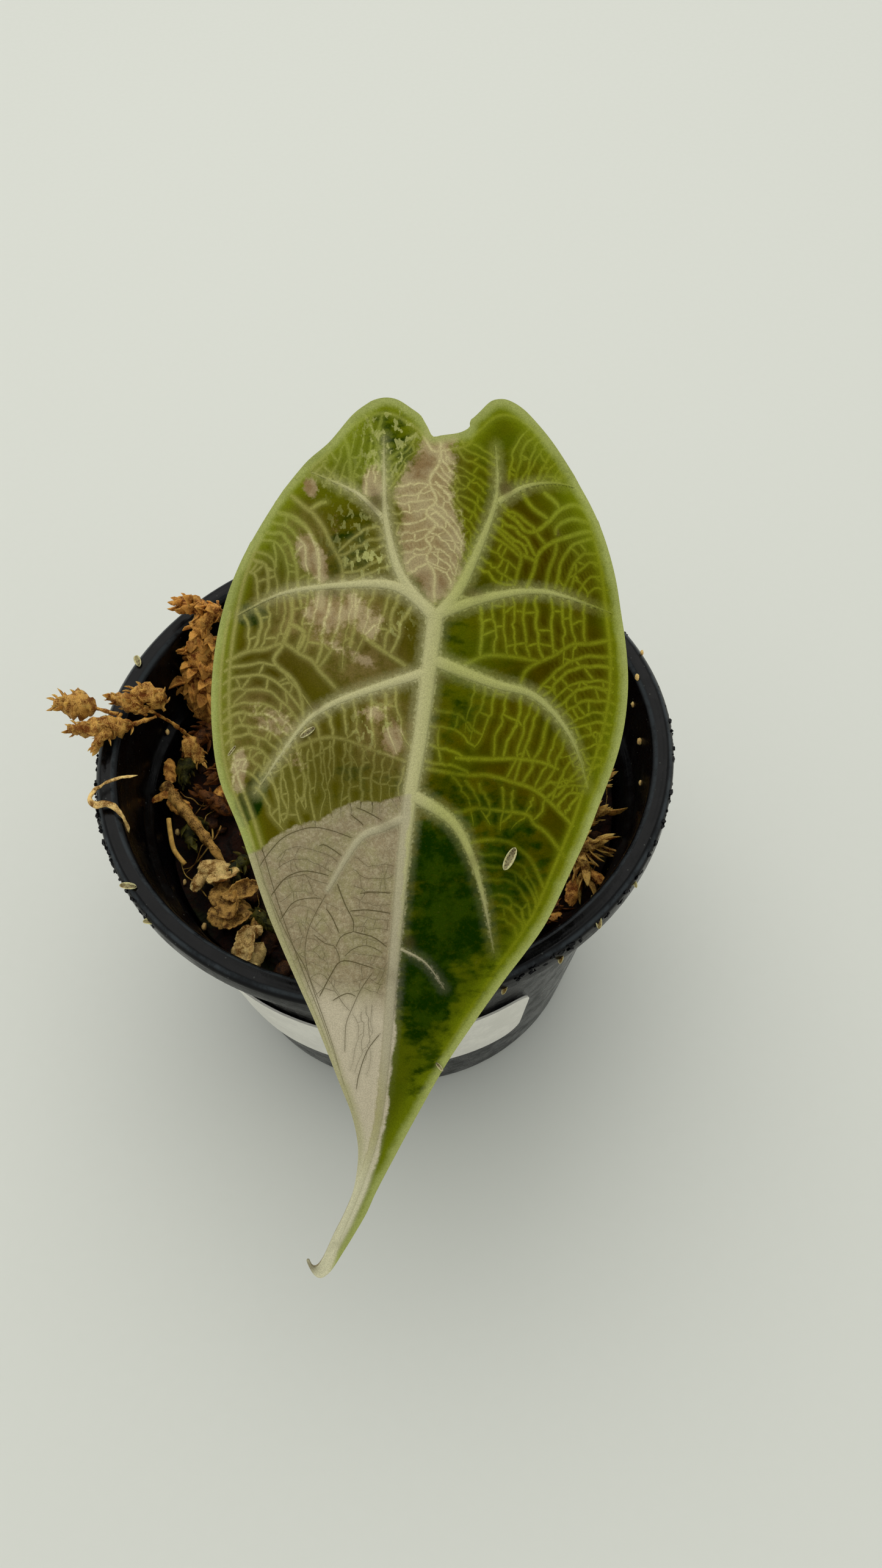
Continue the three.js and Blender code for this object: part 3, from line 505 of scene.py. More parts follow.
@dataclass(frozen=True)
class PotFinish:
    """Thin black moulded plastic with faint flow marks, a finely ridged lip, painted highlight lines along
    the lip's top edges, and dust.
    """

    plastic: Colour = rgb(3, 3, 4)
    dust: Colour = rgb(84, 86, 82)
    # Colour of the painted highlight: lighter lines on the lip's top edges that stand in for the light
    # caught there.
    lip_highlight: Colour = rgb(44, 49, 52)
    highlight_radii: tuple[float, float] = (37.5, 35.6)
    highlight_from_z: float = 52.2
    ridged_from_z: float = 50.6
    ridges_per_mm: float = 1.6
    roughness: float = 0.26
    relief_mm: float = 0.05

    def build(self) -> Material:
        """Makes the material."""
        wiring = Surface("black_pot_plastic")
        place = wiring.millimetres()
        rings = wiring.noise(wiring.millimetres((0.05, 0.05, 1.6)), 1.0, 3.0)
        film = wiring.noise(place, 0.35, 5.0, 0.7)
        specks = wiring.product(wiring.step(wiring.cells(place, 0.9), 0.12, 0.05), 0.45)
        dusty = wiring.math("MAXIMUM", wiring.step(film, 0.5, 0.85, 0.0, 0.06), specks)
        apart = wiring.node("ShaderNodeSeparateXYZ")
        wiring.feed(apart.inputs["Vector"], place)
        squares = [wiring.product(apart.outputs[axis], apart.outputs[axis]) for axis in "XY"]
        out = wiring.math("SQRT", wiring.math("ADD", *squares))
        height = apart.outputs["Z"]
        # Painted highlight: thin lighter lines along the lip's outer and inner top edges, patchy with the
        # film noise, stand in for the light that the rounded lip catches.
        lines = [wiring.step(wiring.math("ABSOLUTE", wiring.math("SUBTRACT", out, radius)), 0.34, 0.05)
                 for radius in self.highlight_radii]
        lip_highlight = wiring.product(wiring.math("MAXIMUM", *lines),
                              wiring.step(height, self.highlight_from_z, self.highlight_from_z + 0.8),
                              wiring.step(film, 0.35, 0.6, 0.25, 1.0))
        ridges = wiring.product(wiring.math("SINE", wiring.product(out, self.ridges_per_mm * TURN)),
                                wiring.step(height, self.ridged_from_z, self.ridged_from_z + 1.8),
                                wiring.step(film, 0.3, 0.5), 0.3)
        fine = wiring.bump(wiring.math("ADD", wiring.noise(place, 1.7, 3.0), ridges), 0.4 * self.relief_mm)
        return wiring.dress(
            wiring.layers(self.plastic, (dusty, self.dust), (lip_highlight, self.lip_highlight)),
            wiring.bump(rings, self.relief_mm, fine),
            wiring.step(film, 0.35, 0.7, self.roughness - 0.07, self.roughness + 0.16), 0.12)


@dataclass(frozen=True)
class PaperFinish:
    """White label paper with a faint tooth and a few grey rubs."""

    paper: Colour = rgb(224, 221, 210)
    rub: Colour = rgb(190, 187, 176)

    def build(self, effects: Effects) -> Material:
        """Makes the material."""
        wiring = Surface("bare_label_paper")
        spots = wiring.use(effects.mottle, Light=self.paper, Dark=self.rub, Scale=0.35)
        tooth = wiring.noise(wiring.millimetres(), 5.0, 4.0)
        return wiring.dress(wiring.mix(0.35, self.paper, spots.outputs["Color"]), wiring.bump(tooth, 0.03),
                            wiring.step(tooth, 0.3, 0.7, 0.48, 0.66))


@dataclass(frozen=True)
class MixFinish:
    """Dark damp potting mix with brown fibres and green algae in patches."""

    peat: Colour = rgb(7, 4, 2)
    crumb: Colour = rgb(40, 19, 9)
    algae: Colour = rgb(26, 36, 8)

    def build(self, effects: Effects) -> Material:
        """Makes the material."""
        wiring = Surface("potting_mix")
        place = wiring.millimetres()
        spots = wiring.use(effects.mottle, Light=self.crumb, Dark=self.peat, Scale=0.9)
        patch = wiring.step(wiring.noise(place, 0.14, 3.0, 0.6), 0.54, 0.66, 0.0, 0.75)
        height = wiring.math("ADD", wiring.noise(place, 1.1, 5.0, 0.7),
                             wiring.product(wiring.cells(place, 1.4), 0.5))
        return wiring.dress(wiring.mix(patch, spots.outputs["Color"], self.algae), wiring.bump(height, 0.5),
                            wiring.step(spots.outputs["Mask"], 0, 1, 0.7, 0.95), 0.15)


@dataclass(frozen=True)
class TuberFinish:
    """Brown corky tuber and its paler roots."""

    cork: Colour = rgb(128, 88, 56)
    shade: Colour = rgb(62, 38, 22)

    def build(self, effects: Effects) -> Material:
        """Makes the material."""
        wiring = Surface("corky_tuber")
        spots = wiring.use(effects.mottle, Light=self.cork, Dark=self.shade, Scale=1.2)
        rings = wiring.noise(wiring.millimetres((0.3, 0.3, 2.2)), 1.0, 4.0, 0.6)
        return wiring.dress(spots.outputs["Color"], wiring.bump(rings, 0.35),
                            wiring.step(rings, 0.3, 0.7, 0.72, 0.9))


@dataclass(frozen=True)
class SheathFinish:
    """Papery tan sheath with upright veins."""

    paper: Colour = rgb(196, 164, 116)
    vein: Colour = rgb(128, 88, 50)

    def build(self, effects: Effects) -> Material:
        """Makes the material."""
        wiring = Surface("papery_sheath")
        grain = wiring.use(effects.fibre, Scale=1.6).outputs["Height"]
        streak = wiring.step(grain, 0.42, 0.6)
        return wiring.dress(wiring.mix(streak, self.vein, self.paper), wiring.bump(grain, 0.12),
                            wiring.step(streak, 0, 1, 0.7, 0.5))


@dataclass(frozen=True)
class StalkFinish:
    """Leaf stalk: pale green with pinkish streaks and short dark flecks."""

    green: Colour = rgb(158, 172, 108)
    pink: Colour = rgb(196, 168, 142)
    fleck: Colour = rgb(112, 84, 62)

    def build(self, effects: Effects) -> Material:
        """Makes the material."""
        wiring = Surface("leaf_stalk")
        grain = wiring.use(effects.fibre, Scale=1.1).outputs["Height"]
        long = wiring.noise(wiring.millimetres((1.0, 1.0, 0.3)), 1.3, 3.0)
        colour = wiring.layers(self.green, (wiring.step(grain, 0.45, 0.6), self.pink),
                               (wiring.step(long, 0.6, 0.7, 0.0, 0.8), self.fleck))
        return wiring.dress(colour, wiring.bump(grain, 0.08), wiring.step(long, 0.3, 0.7, 0.36, 0.5))


FIELDS = ("rib", "net", "vein", "shown", "west", "edge", "cream", "pink", "tint", "fresh", "fleck", "low",
          "core", "tail", "spot", "under", "bronze", "deep", "pale")


@dataclass(frozen=True)
class LeafFinish:
    """Velvety blade: olive and bronze cells, a pale net, a cream sector and pink patches."""

    green: Colour = rgb(58, 63, 0)
    olive: Colour = rgb(74, 70, 0)
    bronze: Colour = rgb(60, 49, 0)
    west: Colour = rgb(80, 74, 8)
    deep: Colour = rgb(16, 38, 0)
    dusky: Colour = rgb(40, 58, 2)
    fresh: Colour = rgb(88, 99, 6)
    lime: Colour = rgb(114, 125, 14)
    edge: Colour = rgb(158, 164, 96)
    net: Colour = rgb(122, 127, 22)
    west_net: Colour = rgb(148, 143, 78)
    fresh_net: Colour = rgb(132, 143, 50)
    rib: Colour = rgb(162, 163, 98)
    west_rib: Colour = rgb(182, 177, 130)
    low_rib: Colour = rgb(166, 158, 130)
    pink: Colour = rgb(128, 104, 70)
    blush: Colour = rgb(150, 132, 98)
    pink_vein: Colour = rgb(192, 182, 132)
    fleck: Colour = rgb(170, 170, 104)
    cream: Colour = rgb(140, 126, 97)
    cream_green: Colour = rgb(140, 133, 94)
    cream_light: Colour = rgb(168, 157, 127)
    cream_tail: Colour = rgb(188, 177, 151)
    tint: Colour = rgb(130, 110, 66)
    low_green: Colour = rgb(74, 88, 6)
    hairline: Colour = rgb(70, 62, 34)
    tail: Colour = rgb(202, 197, 164)
    spot: Colour = rgb(84, 70, 42)
    belly: Colour = rgb(112, 96, 62)
    belly_rib: Colour = rgb(150, 152, 92)
    relief_mm: float = 0.02

    def build(self) -> Material:
        """Makes the material from the blade's vertex fields and three noises."""
        wiring = Surface("velvety_leaf")
        place = wiring.millimetres()
        field = {name: wiring.attribute(name) for name in FIELDS}
        cloud = wiring.noise(place, 0.42, 4.0, 0.6)
        speckle = wiring.noise(place, 2.6, 4.0, 0.65)
        velvet = wiring.noise(place, 8.0, 2.0, 0.6)
        wobble = wiring.math("ADD", wiring.step(cloud, 0.3, 0.7, -0.5, 0.5),
                             wiring.step(speckle, 0.3, 0.7, -0.25, 0.25))
        field["edge"], field["cream"], field["pink"] = (
            wiring.math("ADD", field[name], wiring.product(wobble, frayed))
            for name, frayed in (("edge", 0.25), ("cream", 0.3), ("pink", 1.0)))
        cream = wiring.step(field["cream"], -0.2, 0.2)
        near = wiring.product(wiring.step(field["net"], 0.7, 0.05), field["shown"], 0.3)
        strand = wiring.product(wiring.step(field["vein"], 0.0, 0.95),
                                wiring.step(field["shown"], 0, 1, 0.1, 0.95),
                                wiring.step(speckle, 0.3, 0.6, 0.55, 1.0))
        net_colour = wiring.layers(self.net, (field["west"], self.west_net),
                                   (wiring.product(field["fresh"], 0.8), self.fresh_net))
        rib_colour = wiring.layers(
            self.rib, (field["west"], self.west_rib), (field["low"], self.low_rib),
            (wiring.product(cream, 0.8), self.low_rib),
            (wiring.step(field["edge"], 6.5, 1.5, 0.0, 0.75), net_colour))
        halo = wiring.step(field["shown"], 0, 1, 0.3, 1.0)
        dashes = wiring.noise(wiring.millimetres((1.5, 0.9, 0.9)), 1.15, 2.0, 0.5)
        flecks = wiring.product(field["fleck"], wiring.step(dashes, 0.55, 0.6), 0.8)
        blush = wiring.layers(self.pink, (wiring.step(cloud, 0.4, 0.6), self.blush),
                              (wiring.math("MAXIMUM", near, strand), self.pink_vein))
        fringe = wiring.math("ADD", field["rib"], wiring.step(speckle, 0.3, 0.7, -0.16, 0.16))
        core = wiring.math("ADD", field["core"], wiring.step(speckle, 0.3, 0.7, -0.3, 0.2))
        colour = wiring.layers(
            self._cells(wiring, cloud, speckle, field),
            (wiring.product(field["tint"], wiring.step(wobble, -0.5, 0.4, 0.3, 0.9)), self.tint),
            (near, net_colour),
            (wiring.product(strand, 0.9), net_colour),
            (flecks, self.fleck),
            (wiring.product(wiring.step(field["pink"], -0.5, 0.5), 0.92), blush),
            (wiring.product(wiring.step(fringe, 1.1, 0.0, 0.0, 0.3), halo), rib_colour),
            (cream, self._sector(wiring, cloud, speckle, field)),
            (wiring.step(fringe, 0.2, -0.3, 0.0, 0.8), rib_colour),
            (wiring.step(core, 0.2, 1.0, 0.0, 0.8), rib_colour),
            (wiring.step(field["edge"], 1.3, 0.1, 0.0, 0.85),
             wiring.mix(wiring.product(cream, 0.6), self.edge, self.cream_light)),
            (field["tail"], self.tail),
            (wiring.product(field["spot"], 0.75), self.spot),
            (wiring.step(field["under"], 0.35, 0.75), self._underside(wiring, cloud, cream, field)))
        shade = wiring.step(velvet, 0.3, 0.7, 0.84, 1.14)
        tone = wiring.node("ShaderNodeCombineColor")
        for channel in tone.inputs:
            wiring.feed(channel, shade)
        height = wiring.math("ADD", wiring.product(velvet, 0.6), speckle)
        return wiring.dress(wiring.mix(1.0, colour, tone.outputs[0], "MULTIPLY"),
                            wiring.bump(height, self.relief_mm),
                            wiring.step(speckle, 0.3, 0.7, 0.5, 0.66), 0.0)

    def _cells(self, wiring: Wiring, cloud: Socket, speckle: Socket, field: dict[str, Socket]) -> Socket:
        """The blade between its veins."""
        streaks = wiring.noise(wiring.millimetres((0.6, 1.0, 1.0)), 0.9, 3.0, 0.55)
        deep = wiring.math("ADD", field["deep"], wiring.step(streaks, 0.3, 0.7, -0.26, 0.26))
        dark = wiring.layers(self.deep, (wiring.step(cloud, 0.44, 0.62, 0.0, 0.8), self.dusky),
                             (wiring.step(speckle, 0.5, 0.7, 0.0, 0.3), self.green))
        return wiring.layers(
            self.green, (wiring.step(cloud, 0.36, 0.64), self.olive),
            (wiring.product(field["west"], 0.8), self.west), (field["bronze"], self.bronze),
            (wiring.product(field["low"], 0.6), self.low_green),
            (wiring.product(field["fresh"], 0.85), self.fresh),
            (wiring.step(field["edge"], 3.2, 0.3, 0.0, 0.75), self.lime),
            (wiring.step(deep, 0.2, 0.82), dark))

    def _sector(self, wiring: Wiring, cloud: Socket, speckle: Socket, field: dict[str, Socket]) -> Socket:
        """The cream sector with its mottling and dark hairline net."""
        return wiring.layers(
            self.cream, (wiring.step(cloud, 0.42, 0.62, 0.0, 0.7), self.cream_green),
            (wiring.step(speckle, 0.42, 0.66, 0.0, 0.6), self.cream_light), (field["pale"], self.cream_tail),
            (wiring.step(field["net"], 0.45, 0.1, 0.0, 0.12), self.hairline),
            (wiring.step(field["vein"], 0.2, 0.8, 0.0, 0.85), self.hairline))

    def _underside(self, wiring: Wiring, cloud: Socket, cream: Socket, field: dict[str, Socket]) -> Socket:
        """The duller lower face, with paler veins and the cream shining through."""
        ribs = wiring.math("MAXIMUM", wiring.step(field["rib"], 0.4, -0.1),
                           wiring.product(wiring.step(field["net"], 0.5, 0.1), 0.5))
        return wiring.layers(self.belly, (wiring.step(cloud, 0.35, 0.65), self.west), (ribs, self.belly_rib),
                             (wiring.product(cream, 0.75), self.cream_light))


@dataclass
class NurseryPot:
    """The thrown-away black pot: tapered wall, collar, round lip, grooved base with drain holes."""

    height: float = 53.3
    rim_radius: float = 38.0
    base_radius: float = 27.7
    wall: float = 1.0
    floor: float = 1.6
    lip_height: float = 3.8
    lip_round: float = 0.7
    lip_inner: float = 35.1
    step_z: float = 42.0
    step_radius: float = 33.7
    collar_foot: float = 34.9
    collar_head: float = 36.0
    step_rise: float = 0.6
    base_chamfer: float = 0.5
    groove: tuple[float, float, float] = (15.5, 24.5, 0.7)
    drain_holes: int = 8
    drain_radius: float = 3.0
    drain_circle: float = 20.0
    segments: int = 176
    corner_length: float = 0.3
    corner_angle: float = 0.5
    corner_round: float = 0.28
    sway: tuple[Point, ...] = ((0.1, 3, 0.7), (0.05, 7, 0.0))
    rise: tuple[Point, ...] = ((0.08, 2, 1.9),)
    flash_count: int = 320
    flash_size: Span = (0.1, 0.3)
    flash_inset: Span = (0.0, 0.3)
    flash_drop: Span = (0.5, 1.5)
    flash_arcs_deg: tuple[Span, ...] = ((-75.0, 26.0), (168.0, 222.0))

    def outer(self, z: float) -> float:
        """Radius of the outer wall below the collar."""
        return self.base_radius + (self.step_radius - self.base_radius) * z / self.step_z

    def inner(self, z: float) -> float:
        """Radius of the inner wall below the collar."""
        return self.outer(z) - self.wall

    def profile(self) -> list[Point]:
        """The section from the axis under the floor round the lip to the axis inside."""
        near, far, depth = self.groove
        lip_foot = self.height - self.lip_height
        return [
            (0, 0), (near, 0), (near, depth), (far, depth), (far, 0),
            (self.base_radius - self.base_chamfer, 0),
            (self.outer(self.base_chamfer), self.base_chamfer), (self.step_radius, self.step_z),
            (self.collar_foot, self.step_z + self.step_rise), (self.collar_head, lip_foot),
            (self.rim_radius - self.lip_round, lip_foot), (self.rim_radius, lip_foot + self.lip_round),
            (self.rim_radius, self.height - self.lip_round), (self.rim_radius - self.lip_round, self.height),
            (self.lip_inner + self.lip_round, self.height), (self.lip_inner, self.height - self.lip_round),
            (self.collar_foot - self.wall, self.step_z + self.step_rise + self.wall),
            (self.step_radius - self.wall, self.step_z + self.wall - self.step_rise),
            (self.inner(self.floor), self.floor), (0, self.floor)]

    def build(self, material: Material) -> Piece:
        """Turns, rounds and drills the pot, and leaves the moulding flash on its lip."""
        bm = lathe(self.profile(), self.segments)
        corners = [edge for edge in bm.edges if self._is_corner(edge)]
        bmesh.ops.bevel(bm, geom=corners, offset=self.corner_round, offset_type="OFFSET", segments=3,
                        profile=0.5, affect="EDGES", material=-1)
        self._drill(bm)
        self._wave(bm)
        self._flash(bm)
        return add_piece("nursery_pot", bm, material, ["pot"], sharp_deg=40)

    def _is_corner(self, edge: bmesh.types.BMEdge) -> bool:
        """True for a ring edge where the section turns sharply."""
        level = abs(edge.verts[0].co.z - edge.verts[1].co.z) < 1e-4
        reach = abs(edge.verts[0].co.xy.length - edge.verts[1].co.xy.length) < 1e-3
        ring = level and reach and edge.calc_length() > self.corner_length and len(edge.link_faces) == 2
        return ring and edge.calc_face_angle(0) > self.corner_angle

    def _drill(self, bm: Mesh) -> None:
        """Cuts the drain holes through the floor."""
        cutter = bmesh.new()
        for index in range(self.drain_holes):
            place = Matrix.Translation(polar(self.drain_circle, TURN * (index + 0.5) / self.drain_holes))
            bmesh.ops.create_cone(cutter, cap_ends=True, segments=32, radius1=self.drain_radius,
                                  radius2=self.drain_radius, depth=4 * self.floor, matrix=place)
        cut(bm, cutter)

    def _wave(self, bm: Mesh) -> None:
        """Bends the thin lip slightly out of true."""
        for vert in bm.verts:
            share = max(0.0, (vert.co.z - self.step_z) / (self.height - self.step_z))
            angle = math.atan2(vert.co.y, vert.co.x)
            push, lift = (sum(size * share * math.sin(count * angle + phase) for size, count, phase in waves)
                          for waves in (self.sway, self.rise))
            vert.co.xy *= 1 + push / self.rim_radius
            vert.co.z += lift

    def _flash(self, bm: Mesh) -> None:
        """Adds torn crumbs of plastic on the lip's outer edge."""
        draw = random.Random(41)
        for _ in range(self.flash_count):
            low, high = draw.choice(self.flash_arcs_deg)
            angle = math.radians(draw.uniform(low, high))
            size = draw.uniform(*self.flash_size)
            radius = self.rim_radius - draw.uniform(*self.flash_inset)
            height = self.height - draw.uniform(*self.flash_drop)
            turn = Matrix.Rotation(angle, 4, "Z") @ Matrix.Diagonal(
                (size * draw.uniform(0.7, 1.2), size * draw.uniform(1.0, 2.4), size, 1))
            place = Matrix.Translation(polar(radius, angle, height))
            made = bmesh.ops.create_icosphere(bm, subdivisions=1, radius=1.0, matrix=place @ turn)
            for vert in made["verts"]:
                vert.co += Vector([draw.uniform(-0.3, 0.3) * size for _ in range(3)])


def cut(bm: Mesh, cutter: Mesh) -> None:
    """Takes one closed mesh out of another and frees the cutter.

    Args:
        bm: the mesh that is cut, changed in place.
        cutter: the mesh that is taken out of it.
    """
    holders = []
    for name, source in (("cut_body", bm), ("cut_tool", cutter)):
        bmesh.ops.recalc_face_normals(source, faces=source.faces[:])
        mesh = bpy.data.meshes.new(name)
        source.to_mesh(mesh)
        holder = bpy.data.objects.new(name, mesh)
        bpy.context.scene.collection.objects.link(holder)
        holders.append(holder)
    cutter.free()
    body, tool = holders
    modifier = body.modifiers.new("drill", "BOOLEAN")
    modifier.operation = "DIFFERENCE"
    modifier.solver = "EXACT"
    modifier.object = tool
    bpy.context.view_layer.update()
    evaluated = body.evaluated_get(bpy.context.evaluated_depsgraph_get())
    bm.clear()
    bm.from_mesh(evaluated.to_mesh())
    evaluated.to_mesh_clear()
    for holder in holders:
        mesh = holder.data
        bpy.data.objects.remove(holder)
        bpy.data.meshes.remove(mesh)


@dataclass
class BareLabel:
    """A blank label wrapped round the front of the pot."""

    pot: NurseryPot
    bottom: float = 14.0
    top: float = 31.0
    from_deg: float = -45.0
    to_deg: float = 33.0
    corner: float = 3.0
    thickness: float = 0.3
    columns: int = 72
    rows: int = 10
    lifted: float = 0.12

    def build(self, material: Material) -> Piece:
        """Wraps the label, with round corners and one edge a little lifted."""
        middle = (self.bottom + self.top) / 2
        half = (self.top - self.bottom) / 2
        spread = math.radians(self.to_deg - self.from_deg)
        length = spread * self.pot.outer(middle)

        def place(across: float, along: float, layer: float) -> Point:
            """One point of the label."""
            eased = (1 - math.cos(math.pi * across)) / 2
            into = max(0.0, self.corner - min(eased, 1 - eased) * length)
            short = self.corner - math.sqrt(max(0.0, self.corner ** 2 - into ** 2))
            z = middle + (2 * along - 1) * (half - short)
            angle = math.radians(self.from_deg) + spread * eased
            lifted = self.lifted * noise.noise(Vector((4 * eased, 2 * along, 3.0)))
            radius = self.pot.outer(z) + GAP + layer * self.thickness + max(0.0, lifted)
            return radius * math.sin(angle), -radius * math.cos(angle), z

        bm = bmesh.new()
        curved_shell(bm, self.columns, self.rows, place)
        return add_piece("blank_label", bm, material, ["label"], sharp_deg=50)


@dataclass
class PottingMix:
    """The dark mix that fills the pot, with chips, fibres and pale grains on it."""

    pot: NurseryPot
    edge_z: float = 37.5
    crown: float = 2.0
    lump: float = 1.1
    bottom_z: float = 1.9
    rings: int = 74
    sectors: int = 150
    crumbs: tuple[Point, ...] = ((0.9, 0.45, 1.0), (0.6, 1.1, 5.0), (0.35, 2.6, 9.0))
    chips: int = 150
    chip_size: Span = (0.4, 1.1)
    fibres: int = 130
    fibre_length: Span = (3, 9)
    fibre_radius: Span = (0.06, 0.17)
    rootlet_radius: float = 0.34
    grain_size: Span = (0.36, 0.6)
    rootlet: tuple[Point, ...] = (
        (-30.2, -4.6, 43.6), (-29.8, -7.0, 43.2), (-29.2, -9.2, 42.8), (-27.8, -11.0, 42.0))
    wall_grains: tuple[Point, ...] = (
        (35.9, 11.9, 53.4), (34.7, 7.9, 53.0), (34.2, 5.9, 49.6), (34.4, 0.3, 48.6), (33.9, -5.4, 47.0),
        (-31.7, 10.4, 43.6))
    loose_grains: tuple[Span, ...] = (
        (29.2, -14.2), (-25.6, -18.2), (-28.6, -11.6), (-30.4, -3.2), (16.2, -26.4), (26.8, -16.9))

    def top(self, x: float, y: float) -> float:
        """Height of the mix's lumpy top."""
        out = math.hypot(x, y) / self.pot.inner(self.edge_z)
        lumps = (math.sin(0.42 * x + 1.1) * math.cos(0.37 * y - 0.6)
                 + 0.7 * math.sin(0.81 * y + 0.33 * x) * math.cos(0.74 * x - 0.5 * y))
        return self.edge_z + self.crown * (1 - out ** 2) + self.lump * lumps

    def build(self, material: Material) -> Piece:
        """Makes the plug of mix with its crumbly top."""
        top_radius = self.pot.inner(self.edge_z - 2 * self.lump) - GAP
        bottom_radius = self.pot.inner(self.bottom_z) - GAP
        profile = [(top_radius * ring / self.rings, 0.0) for ring in range(self.rings + 1)]
        profile += [(bottom_radius, -1.0), (0.0, -1.0)]
        bm = lathe(profile, self.sectors)
        for vert in bm.verts:
            x, y = vert.co.xy
            if vert.co.z < -0.5:
                vert.co.z = self.bottom_z
                continue
            crumbs = sum(high * noise.noise(Vector((rate * x, rate * y, seed)))
                         for high, rate, seed in self.crumbs)
            vert.co.z = self.top(x, y) + crumbs * smooth(0.0, 3.0, top_radius - math.hypot(x, y)) - 0.3
        return add_piece("potting_mix", bm, material, ["substrate"])

    def _spot(self, draw: random.Random) -> Point:
        """A random place on the mix."""
        radius = (self.pot.inner(self.edge_z) - 2.5) * math.sqrt(draw.random())
        return polar(radius, draw.uniform(0, TURN))[:2]

    def build_chips(self, material: Material) -> Piece:
        """Scatters rough bark chips."""
        draw = random.Random(5)
        bm = bmesh.new()
        for _ in range(self.chips):
            x, y = self._spot(draw)
            size = draw.uniform(*self.chip_size)
            turn = Matrix.Rotation(draw.uniform(0, 6.3), 4, "Z")
            turn = turn @ Matrix.Rotation(draw.uniform(-0.6, 0.6), 4, "X")
            shape = Matrix.Diagonal((size * draw.uniform(1.0, 2.1), size, size * draw.uniform(0.35, 0.8), 1))
            place = Matrix.Translation((x, y, self.top(x, y) + 0.25 * size))
            made = bmesh.ops.create_icosphere(bm, subdivisions=2, radius=1.0)["verts"]
            seed = Vector((draw.uniform(0, 50), draw.uniform(0, 50), 0))
            for vert in made:
                rough = 1 + 0.5 * noise.noise(2.2 * vert.co + seed)
                vert.co = (place @ turn @ shape) @ (vert.co * rough)
        return add_piece("bark_chips", bm, material)

    def build_fibres(self, material: Material) -> Piece:
        """Strews fine curled fibres."""
        draw = random.Random(9)
        bm, tip = tipped_mesh()
        pale = Route(self.rootlet).even(16)
        for row in sweep(bm, pale, np.full(len(pale), self.rootlet_radius), 8):
            paint(row, tip, 1.0)
        for _ in range(self.fibres):
            x, y = self._spot(draw)
            heading = draw.uniform(0, TURN)
            length = draw.uniform(*self.fibre_length)
            points = []
            for _ in range(5):
                z = self.top(x, y) + 0.7 + draw.uniform(-0.4, 1.3)
                points.append((x, y, z))
                heading += draw.uniform(-0.7, 0.7)
                x += length / 4 * math.cos(heading)
                y += length / 4 * math.sin(heading)
                limit = self.pot.inner(self.edge_z) - 1.5
                out = math.hypot(x, y)
                if out > limit:
                    x, y = x * limit / out, y * limit / out
            route = Route(points).even(11)
            thick = draw.uniform(*self.fibre_radius)
            rows = sweep(bm, route, thick * np.linspace(1, 0.5, len(route)), 4)
            paint((vert for row in rows for vert in row), tip, draw.random())
        return add_piece("mix_fibres", bm, material)

    def build_grains(self, material: Material) -> Piece:
        """Places the pale mineral grains that cling to the wall and lie on the mix."""
        draw = random.Random(14)
        bm, tip = tipped_mesh()
        loose = [(x, y, self.top(x, y) + 0.4) for x, y in self.loose_grains]
        for centre in (*self.wall_grains, *loose):
            size = draw.uniform(*self.grain_size)
            made = bmesh.ops.create_icosphere(bm, subdivisions=2, radius=1.0)["verts"]
            seed = Vector((draw.uniform(0, 50), 0, 0))
            for vert in made:
                rough = 1 + 0.35 * noise.noise(1.6 * vert.co + seed)
                vert.co = Vector(centre) + rough * Vector(
                    (0.6 * size * vert.co.x, size * vert.co.y, 0.9 * size * vert.co.z))
                vert[tip] = 1.0
        return add_piece("pale_grains", bm, material)


